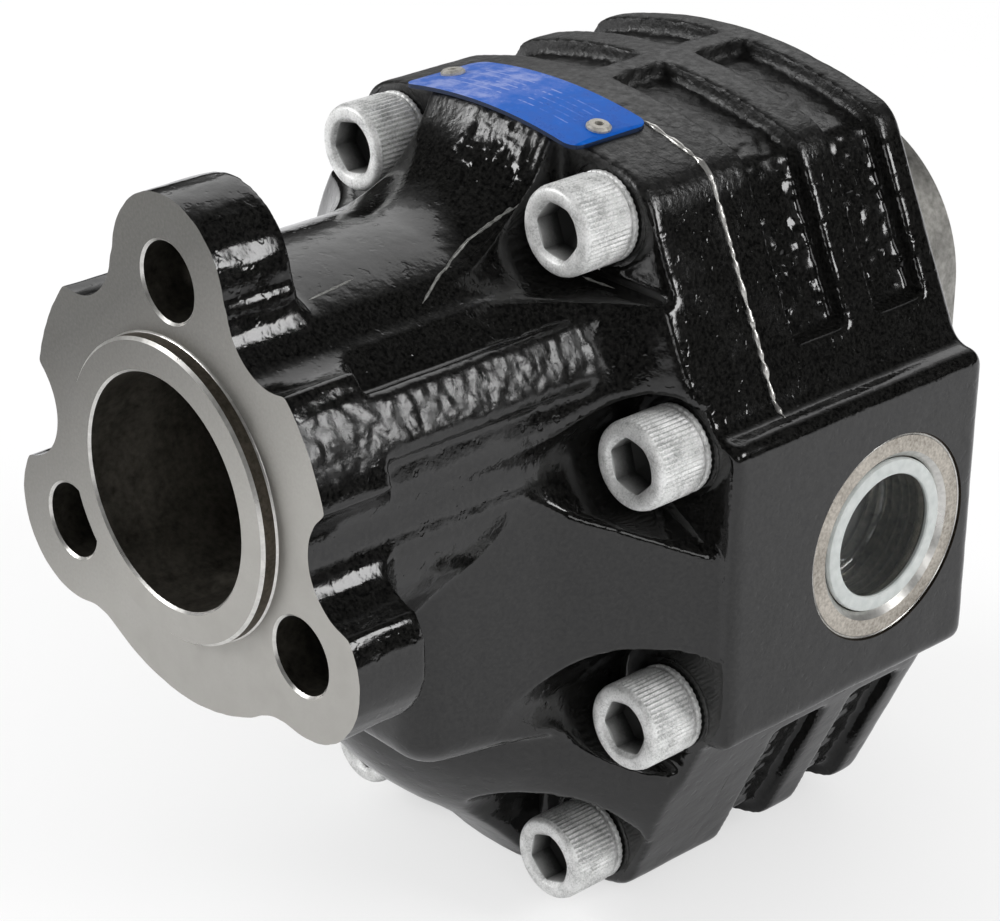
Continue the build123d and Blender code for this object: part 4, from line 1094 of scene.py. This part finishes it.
# Stage, lights and camera
def stage():
    low = CAD_BOX[0][2]
    floor = mesh_object("floor", [(-3, -3, low), (3, -3, low), (3, 3, low), (-3, 3, low)], [(0, 1, 2, 3)])
    mat = bpy.data.materials.new("floor_white")
    mat.use_nodes = True
    tree = mat.node_tree
    tree.nodes.clear()
    out = tree.nodes.new("ShaderNodeOutputMaterial")
    pale = add(tree, "ShaderNodeBsdfDiffuse", Color=(0.86, 0.86, 0.86, 1))
    dim = add(tree, "ShaderNodeBsdfDiffuse", Color=(0.8, 0.8, 0.81, 1))
    glow = add(tree, "ShaderNodeEmission", Color=(1, 1, 1, 1), Strength=1.0)
    path = tree.nodes.new("ShaderNodeLightPath")
    half = add(tree, "ShaderNodeMath", operation="MULTIPLY")
    half.inputs[1].default_value = 0.62
    tree.links.new(path.outputs["Is Camera Ray"], half.inputs[0])
    mix = tree.nodes.new("ShaderNodeMixShader")
    tree.links.new(half.outputs[0], mix.inputs[0])
    diffuse = tree.nodes.new("ShaderNodeMixShader")
    tree.links.new(path.outputs["Is Glossy Ray"], diffuse.inputs[0])
    tree.links.new(pale.outputs[0], diffuse.inputs[1])
    tree.links.new(dim.outputs[0], diffuse.inputs[2])
    tree.links.new(diffuse.outputs[0], mix.inputs[1])
    tree.links.new(glow.outputs[0], mix.inputs[2])
    tree.links.new(mix.outputs[0], out.inputs[0])
    floor.data.materials.append(mat)

    world = bpy.context.scene.world or bpy.data.worlds.new("world")
    bpy.context.scene.world = world
    world.use_nodes = True
    tree = world.node_tree
    tree.nodes.clear()
    out = tree.nodes.new("ShaderNodeOutputWorld")
    soft = add(tree, "ShaderNodeBackground", Color=(1, 1, 1, 1), Strength=0.8)
    seen = add(tree, "ShaderNodeBackground", Color=(1, 1, 1, 1), Strength=1.0)
    mirror = tree.nodes.new("ShaderNodeBackground")
    path = tree.nodes.new("ShaderNodeLightPath")
    coord = tree.nodes.new("ShaderNodeTexCoord")
    turn = add(tree, "ShaderNodeVectorMath", operation="DOT_PRODUCT")
    turn.inputs[1].default_value = Vector((-0.52, 0.62, 0.58)).normalized()
    tree.links.new(coord.outputs["Generated"], turn.inputs[0])
    stops = [(0.0, (0.01,) * 3), (0.82, (0.015,) * 3), (0.9, (0.2,) * 3),
             (0.94, (0.62,) * 3), (1.0, (0.72,) * 3)]
    glowing = colour_ramp(tree, turn.outputs["Value"], stops)
    tree.links.new(glowing, mirror.inputs["Color"])
    mirror.inputs["Strength"].default_value = 1.0
    a = tree.nodes.new("ShaderNodeMixShader")
    b = tree.nodes.new("ShaderNodeMixShader")
    tree.links.new(path.outputs["Is Glossy Ray"], a.inputs[0])
    tree.links.new(soft.outputs[0], a.inputs[1])
    tree.links.new(mirror.outputs[0], a.inputs[2])
    tree.links.new(path.outputs["Is Camera Ray"], b.inputs[0])
    tree.links.new(a.outputs[0], b.inputs[1])
    tree.links.new(seen.outputs[0], b.inputs[2])
    tree.links.new(b.outputs[0], out.inputs[0])


def lamp(name, position, target, size, power):
    data = bpy.data.lights.new(name, "AREA")
    data.shape = "RECTANGLE"
    data.size, data.size_y = size
    data.energy = power
    obj = linked(name, data)
    obj.location = position
    obj.rotation_euler = (Vector(target) - Vector(position)).to_track_quat("-Z", "Y").to_euler()


def lights():
    middle = (0.0, 0.08, -0.02)
    lamp("top_box", (-0.65, 0.85, 0.8), middle, (0.8, 0.8), 1.6)
    lamp("left_box", (-0.9, -0.9, 0.6), middle, (0.55, 0.55), 11)
    lamp("right_box", (1.05, 0.62, 0.62), middle, (0.4, 0.4), 5.5)
    lamp("front_box", (1.25, -0.5, 0.6), middle, (0.5, 0.5), 2)


def camera():
    # solved from the photograph
    azimuth, elevation, roll = math.radians(47.911), math.radians(26.256), math.radians(0.229)
    target = Vector((22.671, 60.0, -5.573)) * MM
    distance = 579.362 * MM
    back = Vector((math.sin(azimuth) * math.cos(elevation), -math.cos(azimuth) * math.cos(elevation),
                   math.sin(elevation)))
    right = Vector((0, 0, 1)).cross(back).normalized()
    up = back.cross(right)
    level, tilt = right.copy(), up.copy()
    right = level * math.cos(roll) + tilt * math.sin(roll)
    up = tilt * math.cos(roll) - level * math.sin(roll)
    data = bpy.data.cameras.new("camera")
    data.sensor_fit = "HORIZONTAL"
    data.sensor_width = 36.0
    data.lens = 108.23
    obj = linked("camera", data)
    pose = Matrix((right, up, back)).transposed().to_4x4()
    pose.translation = target + back * distance
    obj.matrix_world = pose
    bpy.context.scene.camera = obj


bpy.context.scene.view_settings.view_transform = "Standard"
camera()
stage()
lights()
front_cover()
pump_body()
screws()
ports()
nameplate()
dress_nodes()
